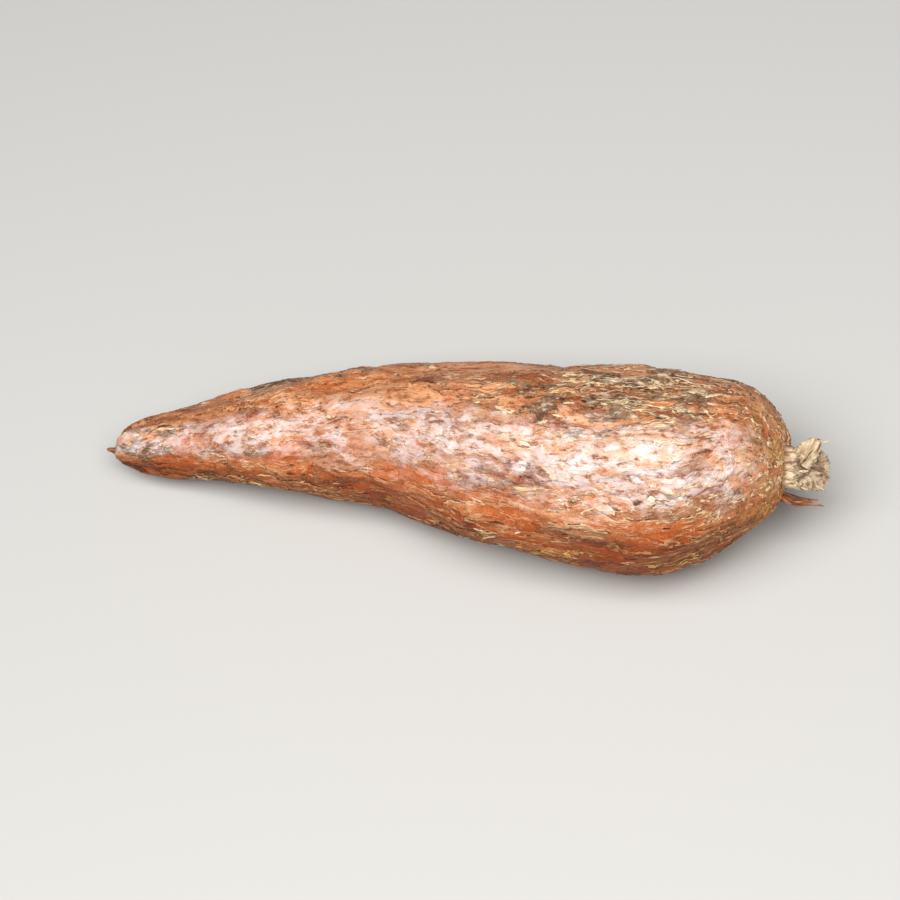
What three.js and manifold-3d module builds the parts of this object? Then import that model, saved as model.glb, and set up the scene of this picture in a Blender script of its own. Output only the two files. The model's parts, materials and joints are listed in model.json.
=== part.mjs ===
// A whole cassava root, lying on its belly: a blunt tail, a body that swells towards the
// shoulder, and the short woody neck by which it hung from the plant, snapped off slantwise.
// It grew as one piece, so it is one closed solid. Millimetres, +Z up. X runs from the tail
// to the neck, and the origin is under the middle of the root, on the surface it lies on.

import * as THREE from "three";
import { mergeVertices } from "three/addons/utils/BufferGeometryUtils.js";
import Module from "manifold-3d";

const wasm = await Module();
wasm.setup();

// ---- Driving dimensions -------------------------------------------------------------

// The root's outline: [distance from the tail tip, radius].
const OUTLINE = [
  [0, 0],
  [2.8, 4.4],
  [9, 7.5],
  [21, 9.9],
  [35, 12.5],
  [56, 16.8],
  [77, 20.0],
  [98, 23.2],
  [120, 26.2],
  [142, 28.2],
  [160, 29.3],
  [172, 29.1],
  [182, 27.2],
  [191, 23.1],
  [198, 17.6],
  [202.6, 11.6],
  [204.6, 6.4],
  [205.2, 0],
];

// How the root bends: [distance from the tail tip, sideways shift, height of its underside].
// Between 90 and 165 the underside dips just below the surface, and is pressed flat there.
const BEND = [
  [0, -5.6, 7.5],
  [20, -2.6, 4.6],
  [42, 0.4, 2.6],
  [64, 2.8, 1.0],
  [84, 4.0, 0.2],
  [100, 2.4, -0.4],
  [120, -0.8, -0.7],
  [142, -2.6, -0.7],
  [162, -3.2, -0.3],
  [178, -1.6, 1.0],
  [190, 1.4, 4.6],
  [205, 3.4, 24.0],
];

const FLATNESS = 0.97; // height of a section over its width
const OUTLINE_RINGS = 112;
const SIDES = 44;

// The bark's relief.
const RELIEF_SEED = 7;
const SWELLS = [
  // [lobes around, wave length along, height]
  [1, 96, 0.4],
  [2, 134, 0.55],
  [3, 78, 0.5],
  [2, 47, 0.3],
  [4, 62, 0.35],
  [5, 41, 0.28],
];
const RIDGES = [
  [7, 88, 0.34],
  [9, 57, 0.32],
  [11, 71, 0.3],
];
const CREASE_COUNT = 12;
const CREASE_FIRST = 16; // from the tail tip
const CREASE_STEP = 15.2;
const CREASE_DEPTH = 0.6;
const CREASE_HALF_WIDTH = 2.4;
const RELIEF_FADE_HEIGHT = 5; // no relief where the root meets the surface
const RELIEF_FADE_RADIUS = 9; // nor at the two ends

// The neck and its break.
const NECK_START = 190;
const NECK_FOOT = 203.5; // where it leaves the shoulder
const NECK_LENGTH = 12.4;
const NECK_RADIUS = 6.3;
const NECK_SIDES = 20;
const NECK_SHIFT = 3.2;
const NECK_HEIGHT = 28.4;
const NECK_SQUARENESS = 0.1;
const NECK_CORNER = -0.19; // angle around the neck of one of its four corners
const BREAK_FACING = 2.1; // angle around the neck of the side that broke off shortest
const BREAK_SHORTEST = 0.26; // share of the neck that is left on that side
const BREAK_ROUGHNESS = 1.0;
const PITH_DEPTH = 1.6;
const PITH_RAYS = 5;
const PITH_RAY_HEIGHT = 0.7;

const TAIL_STUB_WIDTH = 3.2;
const TAIL_STUB_TIP = 1.0;

const FIBRE_COUNT = 13;
const FIBRE_WIDTH = 1.3;
const FIBRE_TIP = 0.7;
const FIBRE_SHORTEST = 2.5;
const FIBRE_SPREAD = 1.9;
const FIBRE_ROOT = 1.9; // how far a fibre is sunk into the neck

// ---- Helpers ------------------------------------------------------------------------

// Repeatable random numbers from 0 to 1.
function randomFrom(seed) {
  let state = seed >>> 0;
  return () => {
    state = (state * 1664525 + 1013904223) >>> 0;
    return state / 4294967296;
  };
}

const smooth = (low, high, value) => THREE.MathUtils.smoothstep(value, low, high);

// A closed geometry as a solid that can be joined to others.
function solidOf(geometry) {
  const bare = geometry.clone();
  bare.deleteAttribute("normal");
  bare.deleteAttribute("uv");
  const welded = mergeVertices(bare, 1e-4);
  return new wasm.Manifold(
    new wasm.Mesh({
      numProp: 3,
      vertProperties: welded.attributes.position.array,
      triVerts: new Uint32Array(welded.index.array),
    }),
  );
}

function geometryOf(solid) {
  const mesh = solid.getMesh();
  const geometry = new THREE.BufferGeometry();
  geometry.setAttribute("position", new THREE.BufferAttribute(mesh.vertProperties, 3));
  geometry.setIndex(new THREE.BufferAttribute(mesh.triVerts, 1));
  geometry.computeVertexNormals();
  return geometry;
}

// Turns a profile of [distance along X, radius] round the X axis.
function turned(profile, sides) {
  const points = profile.map(([along, radius]) => new THREE.Vector2(radius, along));
  return new THREE.LatheGeometry(points, sides).rotateZ(-Math.PI / 2);
}

// Moves every vertex, given as distance along X, angle around it and radius.
function reshape(geometry, place) {
  const position = geometry.attributes.position;
  for (let i = 0; i < position.count; i++) {
    const [x, y, z] = [position.getX(i), position.getY(i), position.getZ(i)];
    const moved = place(x, Math.atan2(z, y), Math.hypot(y, z));
    position.setXYZ(i, moved.x, moved.y, moved.z);
  }
  return geometry;
}

// ---- The bark's relief --------------------------------------------------------------

const reliefRandom = randomFrom(RELIEF_SEED);

const waves = [...SWELLS, ...RIDGES].map(([lobes, length, height]) => ({
  lobes,
  length,
  height,
  turn: reliefRandom() * 2 * Math.PI,
  start: reliefRandom() * 2 * Math.PI,
}));

const creases = Array.from({ length: CREASE_COUNT }, (_, i) => ({
  at: CREASE_FIRST + i * CREASE_STEP + (reliefRandom() - 0.5) * CREASE_STEP * 0.6,
  facing: reliefRandom() * 2 * Math.PI,
  lean: (reliefRandom() - 0.5) * 5,
  depth: CREASE_DEPTH * (0.5 + 0.5 * reliefRandom()),
}));

// Height of the relief at a distance along the root and an angle round it.
function relief(along, angle) {
  let height = 0;
  for (const wave of waves) {
    const around = Math.cos(wave.lobes * angle + wave.turn);
    height += wave.height * around * Math.cos((2 * Math.PI * along) / wave.length + wave.start);
  }
  for (const crease of creases) {
    const off = along - crease.at - crease.lean * Math.sin(angle - crease.facing);
    const side = smooth(-0.1, 0.9, Math.cos(angle - crease.facing));
    height -= crease.depth * side * Math.exp(-((off / CREASE_HALF_WIDTH) ** 2));
  }
  return height;
}

// ---- The body -----------------------------------------------------------------------

const outlineCurve = new THREE.SplineCurve(OUTLINE.map(([x, r]) => new THREE.Vector2(x, r)));
const bendCurve = new THREE.CatmullRomCurve3(
  BEND.map(([x, shift, underside]) => new THREE.Vector3(x, shift, underside)),
  false,
  "catmullrom",
  0.5,
);
const bendPoints = bendCurve.getPoints(400);
const outlinePoints = outlineCurve.getPoints(900);

// Reads a curve's points at a distance along X.
function read(points, along, pick) {
  const after = points.findIndex((point) => point.x >= along);
  if (after < 1) return pick(points[after < 0 ? points.length - 1 : 0]);
  const [a, b] = [points[after - 1], points[after]];
  const share = (along - a.x) / Math.max(b.x - a.x, 1e-9);
  return THREE.MathUtils.lerp(pick(a), pick(b), share);
}

// The middle of the root's section at a distance along it.
function middle(along) {
  const full = Math.max(read(outlinePoints, along, (point) => point.y), 0);
  const settled = smooth(NECK_START - 14, NECK_FOOT, along);
  const resting = read(bendPoints, along, (point) => point.z) + full * FLATNESS;
  return {
    shift: THREE.MathUtils.lerp(read(bendPoints, along, (point) => point.y), NECK_SHIFT, settled),
    height: THREE.MathUtils.lerp(resting, NECK_HEIGHT, settled),
  };
}

function bodyPoint(along, angle, radius) {
  const { shift, height } = middle(along);
  const flatZ = height + radius * FLATNESS * Math.sin(angle);
  const lift = relief(along, angle);
  const kept = smooth(0, RELIEF_FADE_RADIUS, radius) * smooth(0, RELIEF_FADE_HEIGHT, flatZ);
  const grown = radius + lift * kept;
  return new THREE.Vector3(
    along,
    shift + grown * Math.cos(angle),
    Math.max(height + grown * FLATNESS * Math.sin(angle), 0),
  );
}

function body() {
  const profile = outlineCurve.getSpacedPoints(OUTLINE_RINGS).map((point) => [point.x, point.y]);
  profile[0][1] = 0;
  profile[profile.length - 1][1] = 0;
  return solidOf(reshape(turned(profile, SIDES), bodyPoint));
}

// ---- The neck -----------------------------------------------------------------------

// How much of the neck's length is left at an angle around it: least where it broke short.
const neckLeft = (angle, share) =>
  (1 + BREAK_SHORTEST) / 2 - share * ((1 - BREAK_SHORTEST) / 2) * Math.cos(angle - BREAK_FACING);

// The end face's ridges and hollows: rays of wood round a sunken pith.
function breakRelief(angle, share) {
  const ring = 4 * share * (1 - share);
  return PITH_RAY_HEIGHT * ring * Math.cos(PITH_RAYS * angle);
}

function neck() {
  const random = randomFrom(RELIEF_SEED + 1);
  const notches = Array.from({ length: NECK_SIDES }, () => (random() - 0.4) * BREAK_ROUGHNESS);
  const stop = NECK_FOOT + NECK_LENGTH;
  const face = [
    [stop, 1],
    [stop - 0.2, 0.75],
    [stop - 0.7, 0.5],
    [stop - PITH_DEPTH, 0.22],
    [stop - PITH_DEPTH, 0],
  ];
  const profile = [
    [NECK_START, 0],
    [NECK_START, NECK_RADIUS],
    [NECK_FOOT - 2.4, NECK_RADIUS * 1.5],
    [NECK_FOOT, NECK_RADIUS * 1.12],
    [NECK_FOOT + NECK_LENGTH * 0.3, NECK_RADIUS * 0.98],
    [NECK_FOOT + NECK_LENGTH * 0.65, NECK_RADIUS * 0.97],
    ...face.map(([x, share]) => [x, NECK_RADIUS * share]),
  ];
  return solidOf(
    reshape(turned(profile, NECK_SIDES), (x, angle, radius) => {
      const side = Math.round(((angle + 2 * Math.PI) / (2 * Math.PI)) * NECK_SIDES) % NECK_SIDES;
      const past = Math.max(x - NECK_FOOT, 0);
      const share = Math.min(radius / NECK_RADIUS, 1);
      const atBreak = smooth(0.8, 0.92, past / NECK_LENGTH);
      const rough = atBreak * (notches[side] * share ** 4 + breakRelief(angle, share));
      const corner = Math.cos(4 * (angle - NECK_CORNER));
      const squared = radius * (1 + NECK_SQUARENESS * corner);
      return new THREE.Vector3(
        x > NECK_FOOT ? NECK_FOOT + past * neckLeft(angle, share) + rough : x,
        NECK_SHIFT + squared * Math.cos(angle),
        NECK_HEIGHT + squared * Math.sin(angle),
      );
    }),
  );
}

// A tapering sliver from a foot point to a rounded tip, wider across than it is thick.
function sliver(foot, tip, width, tipWidth, thickness, sides = 5) {
  const along = tip.clone().sub(foot);
  const length = along.length();
  const round = Math.min(tipWidth * 0.5, length * 0.3);
  const profile = [
    [0, 0],
    [width / 2, 0],
    [tipWidth / 2, length - round],
    [tipWidth * 0.32, length - round * 0.3],
    [0, length],
  ];
  const shape = new THREE.LatheGeometry(
    profile.map(([radius, at]) => new THREE.Vector2(radius, at)),
    sides,
  );
  shape.scale(1, 1, thickness / width);
  const turn = new THREE.Quaternion().setFromUnitVectors(
    new THREE.Vector3(0, 1, 0),
    along.normalize(),
  );
  shape.applyQuaternion(turn);
  return solidOf(shape.translate(foot.x, foot.y, foot.z));
}

// A point of the neck: distance past its foot, angle around it, and share of its radius.
function neckPoint(past, angle, share) {
  return new THREE.Vector3(
    NECK_FOOT + past,
    NECK_SHIFT + NECK_RADIUS * share * Math.cos(angle),
    NECK_HEIGHT + NECK_RADIUS * share * Math.sin(angle),
  );
}

// Torn fibres that stand out of the broken end, most of them round its rim.
function fibres() {
  const random = randomFrom(RELIEF_SEED + 2);
  return Array.from({ length: FIBRE_COUNT }, (_, i) => {
    const angle = (i / FIBRE_COUNT) * 2 * Math.PI + (random() - 0.5) * 0.3;
    const share = i % 3 === 2 ? 0.42 + 0.2 * random() : 0.86;
    const face = NECK_LENGTH * neckLeft(angle, share);
    const reach = FIBRE_SHORTEST + FIBRE_SPREAD * random() - FIBRE_ROOT;
    return sliver(
      neckPoint(face - FIBRE_ROOT, angle, share - 0.04),
      neckPoint(face + reach, angle + (random() - 0.5) * 0.4, share + 0.06 + 0.14 * random()),
      FIBRE_WIDTH,
      FIBRE_TIP,
      FIBRE_WIDTH,
    );
  });
}

// The broad splinter that stands up from the far rim, and the thread at its tip.
function splinter() {
  return [
    sliver(neckPoint(4.6, 1.35, 0.5), neckPoint(9.0, 1.18, 1.72), 7.4, 4.2, 2.6, 8),
    sliver(neckPoint(7.7, 1.18, 1.46), neckPoint(12.8, 1.1, 1.6), 1.5, 0.8, 1.4),
  ];
}

// The tongue of bark that tore loose below the neck and hangs on at the shoulder.
function tongue() {
  return [
    sliver(neckPoint(-5, -2.36, 1.22), neckPoint(10.4, -2.24, 1.5), 6.4, 3.4, 2.2, 8),
    sliver(neckPoint(3.0, -2.3, 1.36), neckPoint(12.4, -2.44, 1.62), 2.1, 0.9, 1.5),
  ];
}

// The stub of the thin root that went on from the tail.
function tailStub() {
  const foot = new THREE.Vector3(4, -5.2, 8.6);
  const tip = new THREE.Vector3(-2.2, -6.0, 10.4);
  return sliver(foot, tip, TAIL_STUB_WIDTH, TAIL_STUB_TIP, TAIL_STUB_WIDTH * 0.8, 7);
}

// ---- The whole root -----------------------------------------------------------------

const pieces = [body(), neck(), ...fibres(), ...splinter(), ...tongue(), tailStub()];
const rootSolid = pieces.reduce((whole, piece) => whole.add(piece));

const rootGeometry = geometryOf(rootSolid);
rootGeometry.computeBoundingBox();
const { min, max } = rootGeometry.boundingBox;
rootGeometry.translate(-(min.x + max.x) / 2, -(min.y + max.y) / 2, -min.z);

const bark = new THREE.MeshStandardMaterial({ color: 0x94583a, roughness: 0.45, metalness: 0 });
const cassavaRoot = new THREE.Mesh(rootGeometry, bark);
cassavaRoot.name = "cassava_root";

const group = new THREE.Group();
group.add(cassavaRoot);

export default group;
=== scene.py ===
# %% [markdown]
# # A cassava root in Blender
# A cassava root is a swollen root that grew as one piece: a body in thin corky bark, a woody neck
# by which it hung from the plant, and a thin tail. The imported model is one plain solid. This
# lesson dresses it, in metres and in the same place, with bark that cracks and peels along the
# root, torn wood at the neck and a shine of food wax.

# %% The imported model
import json
import math
import bpy
import numpy as np
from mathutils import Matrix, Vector, noise

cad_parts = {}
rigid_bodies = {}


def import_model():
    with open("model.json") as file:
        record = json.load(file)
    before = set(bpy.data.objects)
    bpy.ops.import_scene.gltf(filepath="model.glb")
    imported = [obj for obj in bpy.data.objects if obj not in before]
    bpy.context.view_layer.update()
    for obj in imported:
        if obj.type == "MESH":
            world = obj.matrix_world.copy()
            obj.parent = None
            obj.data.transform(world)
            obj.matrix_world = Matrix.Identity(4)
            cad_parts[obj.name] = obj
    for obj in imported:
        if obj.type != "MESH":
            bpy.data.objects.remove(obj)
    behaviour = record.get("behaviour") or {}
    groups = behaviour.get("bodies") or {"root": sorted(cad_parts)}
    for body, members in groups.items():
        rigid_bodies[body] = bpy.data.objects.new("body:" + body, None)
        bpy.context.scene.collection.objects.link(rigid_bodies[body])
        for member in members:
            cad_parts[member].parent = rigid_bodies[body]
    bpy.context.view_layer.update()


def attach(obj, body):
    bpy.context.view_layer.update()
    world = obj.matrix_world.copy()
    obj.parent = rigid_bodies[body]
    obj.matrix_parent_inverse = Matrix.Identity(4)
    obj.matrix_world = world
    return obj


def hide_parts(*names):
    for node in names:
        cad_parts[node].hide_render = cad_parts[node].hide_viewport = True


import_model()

scene = bpy.context.scene
MM = 0.001

# %% [markdown]
# ## Camera
# The root is looked down on from about 56 degrees, a little from the neck's side. A long lens at
# some 0.78 m keeps the perspective of a product picture, and a roll of the camera lays the root
# level in the frame. It is made first, so that every later step can be judged from one place.

# %% The camera
CAMERA_PLACE = Vector((0.1857, -0.3930, 0.6733))
CAMERA_TARGET = Vector((0.0, 0.0, 0.026))
CAMERA_FIELD = math.radians(19.0)
CAMERA_ROLL = math.radians(-15.0)
SENSOR_WIDTH = 36.0  # mm

camera_data = bpy.data.cameras.new("camera")
camera_data.sensor_width = SENSOR_WIDTH
camera_data.lens = SENSOR_WIDTH / (2 * math.tan(CAMERA_FIELD / 2))
camera = bpy.data.objects.new("camera", camera_data)
camera.location = CAMERA_PLACE
camera.rotation_euler = (CAMERA_TARGET - CAMERA_PLACE).to_track_quat("-Z", "Y").to_euler()
camera.rotation_euler.rotate_axis("Z", CAMERA_ROLL)
scene.collection.objects.link(camera)
scene.camera = camera
print("lens, mm:", round(camera_data.lens, 1))

# %% [markdown]
# ## The root's own measures
# The outline gives the radius at each distance from the tail, and the bend gives how far each
# section is shifted sideways and how high its underside is. They are the values that the solid
# was made from, in millimetres from the tail tip. A Bezier curve with handles could be drawn
# through them by hand. A formula is used instead, because the mesh, the spots on the bark and
# the neck all read the same curve.

# %% Outline and bend
OUTLINE = [  # distance from the tail tip, radius
    (0, 0), (2.8, 4.4), (9, 7.5), (21, 9.9), (35, 12.5), (56, 16.8), (77, 20.0), (98, 23.2),
    (120, 26.2), (142, 28.2), (160, 29.3), (172, 29.1), (182, 27.2), (191, 23.1), (198, 17.6),
    (202.6, 11.6), (204.6, 6.4), (205.2, 0),
]
BEND = [  # distance from the tail tip, sideways shift, height of the underside
    (0, -5.6, 7.5), (20, -2.6, 4.6), (42, 0.4, 2.6), (64, 2.8, 1.0), (84, 4.0, 0.2),
    (100, 2.4, -0.4), (120, -0.8, -0.7), (142, -2.6, -0.7), (162, -3.2, -0.3), (178, -1.6, 1.0),
    (190, 1.4, 4.6), (205, 3.4, 24.0),
]
CURVE_STEPS = 4000


def smooth_curve(points, count, mirrored_ends):
    """Count + 1 points on the smooth curve that passes through the given points."""
    points = np.array(points, float)
    first, last = points[0], points[-1]
    if mirrored_ends:
        first, last = 2 * points[0] - points[1], 2 * points[-1] - points[-2]
    padded = np.vstack([first, points, last])
    at = np.linspace(0, len(points) - 1, count + 1)
    start = np.minimum(at.astype(int), len(points) - 2)
    w = (at - start)[:, None]
    a, b, c, d = (padded[start + k] for k in range(4))
    straight = 2 * b + (c - a) * w
    return 0.5 * (
        straight + (2 * a - 5 * b + 4 * c - d) * w**2 + (3 * b - a - 3 * c + d) * w**3
    )


outline = smooth_curve(OUTLINE, CURVE_STEPS, False)
bend = smooth_curve(BEND, CURVE_STEPS, True)
print("greatest radius, mm:", round(outline[:, 1].max(), 1))

# %% [markdown]
# ## The middle line
# The middle of each section follows from the bend and the radius, because the root rests on its
# underside. Towards the neck it turns smoothly to the neck's own place.

# %% The middle of each section
FLATNESS = 0.97  # height of a section over its width
NECK_START, NECK_FOOT = 190.0, 203.5  # distances from the tail tip
NECK_TURN = 14.0  # how far before the neck the middle line starts to turn to it
NECK_SHIFT, NECK_HEIGHT = 3.2, 28.4
ORIGIN_ALONG, ORIGIN_SHIFT = 107.226, -2.087  # the part's origin, in the same measures


def smooth_step(low, high, value):
    """0 up to low, 1 from high on, and an S curve between them."""
    share = np.clip((value - low) / (high - low), 0.0, 1.0)
    return share * share * (3 - 2 * share)


def middle(along):
    """Sideways shift and height of the middle of the root's section, in mm."""
    full = np.maximum(np.interp(along, outline[:, 0], outline[:, 1]), 0)
    settled = smooth_step(NECK_START - NECK_TURN, NECK_FOOT, along)
    shift = np.interp(along, bend[:, 0], bend[:, 1])
    resting = np.interp(along, bend[:, 0], bend[:, 2]) + full * FLATNESS
    return (
        shift + (NECK_SHIFT - shift) * settled,
        resting + (NECK_HEIGHT - resting) * settled,
    )


def in_part(along, shift, height):
    """Points given from the tail tip in mm, as points of the part in metres."""
    return np.stack([along - ORIGIN_ALONG, shift - ORIGIN_SHIFT, height], -1) * MM


print("middle at the widest, mm:", [round(float(v), 1) for v in middle(160.0)])

# %% [markdown]
# ## Swells and ring creases
# The body isn't a smooth spindle: it swells unevenly and is pinched by faint rings where growth
# paused. A sculptor could push these in by hand. Here waves of a few lobes round the root and
# soft creases across it give them, with the same random numbers and seed as the solid, so that
# both have the same swells.

# %% Relief of the body
RELIEF_SEED = 7
WAVES = [  # lobes around, wave length along, height
    (1, 96, 0.4), (2, 134, 0.55), (3, 78, 0.5), (2, 47, 0.3), (4, 62, 0.35), (5, 41, 0.28),
    (7, 88, 0.34), (9, 57, 0.32), (11, 71, 0.3),
]
CREASE_COUNT, CREASE_FIRST, CREASE_STEP = 12, 16.0, 15.2
CREASE_JITTER, CREASE_LEAN = 0.6, 5.0
CREASE_DEPTH, CREASE_HALF_WIDTH = 0.6, 2.4


def random_from(seed):
    """Repeatable random numbers from 0 to 1."""
    state = seed
    while True:
        state = (state * 1664525 + 1013904223) % 4294967296
        yield state / 4294967296


relief_random = random_from(RELIEF_SEED)
waves = [
    (*wave, next(relief_random) * 2 * math.pi, next(relief_random) * 2 * math.pi)
    for wave in WAVES
]
creases = [
    (
        CREASE_FIRST + i * CREASE_STEP + (next(relief_random) - 0.5) * CREASE_STEP * CREASE_JITTER,
        next(relief_random) * 2 * math.pi,
        (next(relief_random) - 0.5) * CREASE_LEAN,
        CREASE_DEPTH * (0.5 + 0.5 * next(relief_random)),
    )
    for i in range(CREASE_COUNT)
]


def relief(along, angle):
    """Height of the swells and creases, in mm."""
    height = 0.0
    for lobes, length, size, turn, start in waves:
        ripple = np.cos(2 * np.pi * along / length + start)
        height = height + size * np.cos(lobes * angle + turn) * ripple
    for at, facing_angle, lean, depth in creases:
        off = along - at - lean * np.sin(angle - facing_angle)
        side = smooth_step(-0.1, 0.9, np.cos(angle - facing_angle))
        height = height - depth * side * np.exp(-((off / CREASE_HALF_WIDTH) ** 2))
    return height


print("creases at, mm:", [round(crease[0]) for crease in creases])

# %% [markdown]
# ## Round pieces from rings
# The body, the neck, a splinter and a torn fibre are all rows of rings, closed at both ends. A
# curve with a bevel could make each of them, but not their changing sections. So one helper joins
# rings to faces that point outwards, and another makes an object of such shells. Extra values
# per point are stored as attributes, which the finishes and Geometry Nodes can read.

# %% Shells of rings
def shell(rings, **values):
    """Points and faces of a closed skin over rings, each ring a row of points."""
    count, sides = rings.shape[:2]
    points = np.vstack([rings.reshape(-1, 3), rings[0].mean(0), rings[-1].mean(0)])
    faces = []
    for i in range(count - 1):
        for j in range(sides):
            k = (j + 1) % sides
            a, b = i * sides, (i + 1) * sides
            faces.append((a + j, a + k, b + k, b + j))
    first, last = count * sides, count * sides + 1
    end = (count - 1) * sides
    for j in range(sides):
        k = (j + 1) % sides
        faces.append((first, k, j))
        faces.append((last, end + j, end + k))
    spread = {}
    for name, value in values.items():
        flat = value.reshape(count * sides, -1)
        ends = [flat[:sides].mean(0), flat[-sides:].mean(0)]
        spread[name] = np.vstack([flat, *ends])
    return {"points": points, "faces": faces, "values": spread}


print("faces over three rings of four points:", len(shell(np.zeros((3, 4, 3)))["faces"]))


# %% Objects made of shells
def store(mesh, name, value):
    """Keeps a number or a vector for each point of a mesh."""
    kind, field = ("FLOAT_VECTOR", "vector") if value.shape[1] == 3 else ("FLOAT", "value")
    attribute = mesh.attributes.new(name, kind, "POINT")
    attribute.data.foreach_set(field, value.astype(np.float32).ravel())


def mesh_object(name, shells):
    """One object from one or more shells, in metres, with their values as attributes."""
    points = np.vstack([s["points"] for s in shells])
    faces, start = [], 0
    for s in shells:
        faces += [tuple(i + start for i in face) for face in s["faces"]]
        start += len(s["points"])
    mesh = bpy.data.meshes.new(name)
    mesh.from_pydata(points.tolist(), [], faces)
    for key in shells[0]["values"]:
        store(mesh, key, np.vstack([s["values"][key] for s in shells]))
    mesh.shade_smooth()
    made = bpy.data.objects.new(name, mesh)
    scene.collection.objects.link(made)
    print(name, "faces:", len(mesh.polygons))
    return made


# %% [markdown]
# ## The body
# Rings follow the outline at even steps, so a face is about 0.7 mm wide and the bark can be raised
# in the mesh itself. A subdivision surface would give as many faces, but not an even place for
# each. Every point keeps its place on the bark: how far it is along the skin, and the two
# directions round it. A pattern that reads this place runs along the root and over its shoulder
# without a seam, however the root bends. The grain, the direction along the root, is kept too.

# %% The body's mesh
BODY_RINGS, BODY_SIDES = 330, 296
RELIEF_FADE_HEIGHT = 5.0  # mm over the floor, below which the swells fade out
RELIEF_FADE_RADIUS = 9.0  # mm, below which they fade out at the two ends

lengths = np.hypot(*np.diff(outline, axis=0).T)
skin_length = np.concatenate([[0], np.cumsum(lengths)])
steps = np.linspace(0, skin_length[-1], BODY_RINGS + 2)[1:-1]
ring_along = np.interp(steps, skin_length, outline[:, 0])
ring_radius = np.interp(steps, skin_length, outline[:, 1])
angles = np.linspace(0, 2 * np.pi, BODY_SIDES, endpoint=False)


def body_surface(along, angle, radius):
    """Sideways shift and height of a point of the body, in mm."""
    shift, height = middle(along)
    flat_height = height + radius * FLATNESS * np.sin(angle)
    kept = smooth_step(0, RELIEF_FADE_RADIUS, radius)
    kept = kept * smooth_step(0, RELIEF_FADE_HEIGHT, flat_height)
    grown = radius + relief(along, angle) * kept
    return (
        shift + grown * np.cos(angle),
        np.maximum(height + grown * FLATNESS * np.sin(angle), 0),
    )


along, angle = np.meshgrid(ring_along, angles, indexing="ij")
radius = np.repeat(ring_radius[:, None], BODY_SIDES, 1)
skin = np.repeat(steps[:, None], BODY_SIDES, 1)
body_rings = in_part(along, *body_surface(along, angle, radius))
bark_place = np.stack([skin, radius * np.cos(angle), radius * np.sin(angle)], -1) * MM
grain = np.gradient(body_rings, axis=0)
grain /= np.linalg.norm(grain, axis=2, keepdims=True)
body = mesh_object("root_body", [shell(body_rings, bark_place=bark_place, grain=grain)])
print("body, mm:", (body_rings.min((0, 1)) / MM).round(2), (body_rings.max((0, 1)) / MM).round(2))

# %% [markdown]
# ## The snapped neck
# The neck is a short woody stump that was broken off slantwise, so it is long on the far side and
# short towards the viewer, and its broken face shows rays round a sunken pith. Cutting a cylinder
# would leave a clean face. Here its rings run up the side and then in over the face, and the
# slant shortens each side by its own share. Grooves along the side and rays over the face are
# added to the rings as waves round the neck, because torn wood splits along such lines.

# %% The neck's measures
NECK_LENGTH, NECK_RADIUS = 12.4, 6.3
NECK_SQUARENESS, NECK_CORNER = 0.1, -0.19
NECK_FLARE = ([-0.35, -0.19, 0, 0.3, 0.65, 1], [1.9, 1.5, 1.12, 0.98, 0.97, 1])  # share up, radius
NECK_FACETS, NECK_SIDE_RINGS, NECK_FACE_RINGS = 144, 44, 26
BREAK_FACING, BREAK_SHORTEST, BREAK_ROUGHNESS = 2.1, 0.26, 1.0
BREAK_SIDES = 20
BREAK_FROM, BREAK_FULL = 0.8, 0.92  # shares of the neck between which it gets ragged
PITH_DEPTH = 1.6
FACE_DIP = ([0, 0.22, 0.5, 0.75, 1], [PITH_DEPTH, PITH_DEPTH, 0.7, 0.2, 0])  # share out, depth
PITH_RAYS, PITH_RAY_HEIGHT = 5, 0.7


def neck_left(angle, share):
    """The share of the neck's length that is left, least where it broke short."""
    slant = share * (1 - BREAK_SHORTEST) / 2
    return (1 + BREAK_SHORTEST) / 2 - slant * np.cos(angle - BREAK_FACING)


def neck_point(past, angle, share):
    """A point of the neck in mm: distance past its foot, angle, and share of its radius."""
    return np.array([
        NECK_FOOT + past,
        NECK_SHIFT + NECK_RADIUS * share * math.cos(angle),
        NECK_HEIGHT + NECK_RADIUS * share * math.sin(angle),
    ])


neck_sides = [NECK_LENGTH * neck_left(BREAK_FACING + turn, 1) for turn in (0, math.pi)]
print("neck left, short and long side, mm:", [round(float(v), 1) for v in neck_sides])

# %% The neck's rings
side_past = np.linspace(-4.0, NECK_LENGTH, NECK_SIDE_RINGS)
side_share = np.interp(side_past / NECK_LENGTH, *NECK_FLARE)
face_share = np.linspace(1, 0.03, NECK_FACE_RINGS)[1:]
neck_past = np.concatenate([side_past, NECK_LENGTH - np.interp(face_share, *FACE_DIP)])
neck_share = np.concatenate([side_share, face_share])
on_face = np.concatenate([np.zeros(NECK_SIDE_RINGS - 1), np.ones(NECK_FACE_RINGS)])

facets = np.linspace(0, 2 * np.pi, NECK_FACETS, endpoint=False)
past, facet = np.meshgrid(neck_past, facets, indexing="ij")
share = np.repeat(neck_share[:, None], NECK_FACETS, 1)
face = np.repeat(on_face[:, None], NECK_FACETS, 1)
inside = np.minimum(share, 1)
print("neck rings:", len(neck_past), "of", NECK_FACETS, "points")

# %% The break, the grooves and the pith's star
notch_random = random_from(RELIEF_SEED + 1)
notches = [(next(notch_random) - 0.4) * BREAK_ROUGHNESS for _ in range(BREAK_SIDES)]


def waves_round(angle, counts, shift):
    """Uneven ridges round a circle: the mean of cosine waves of the given counts."""
    return sum(np.cos(n * angle + n * n * 0.7 + shift) for n in counts) / len(counts)


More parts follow.
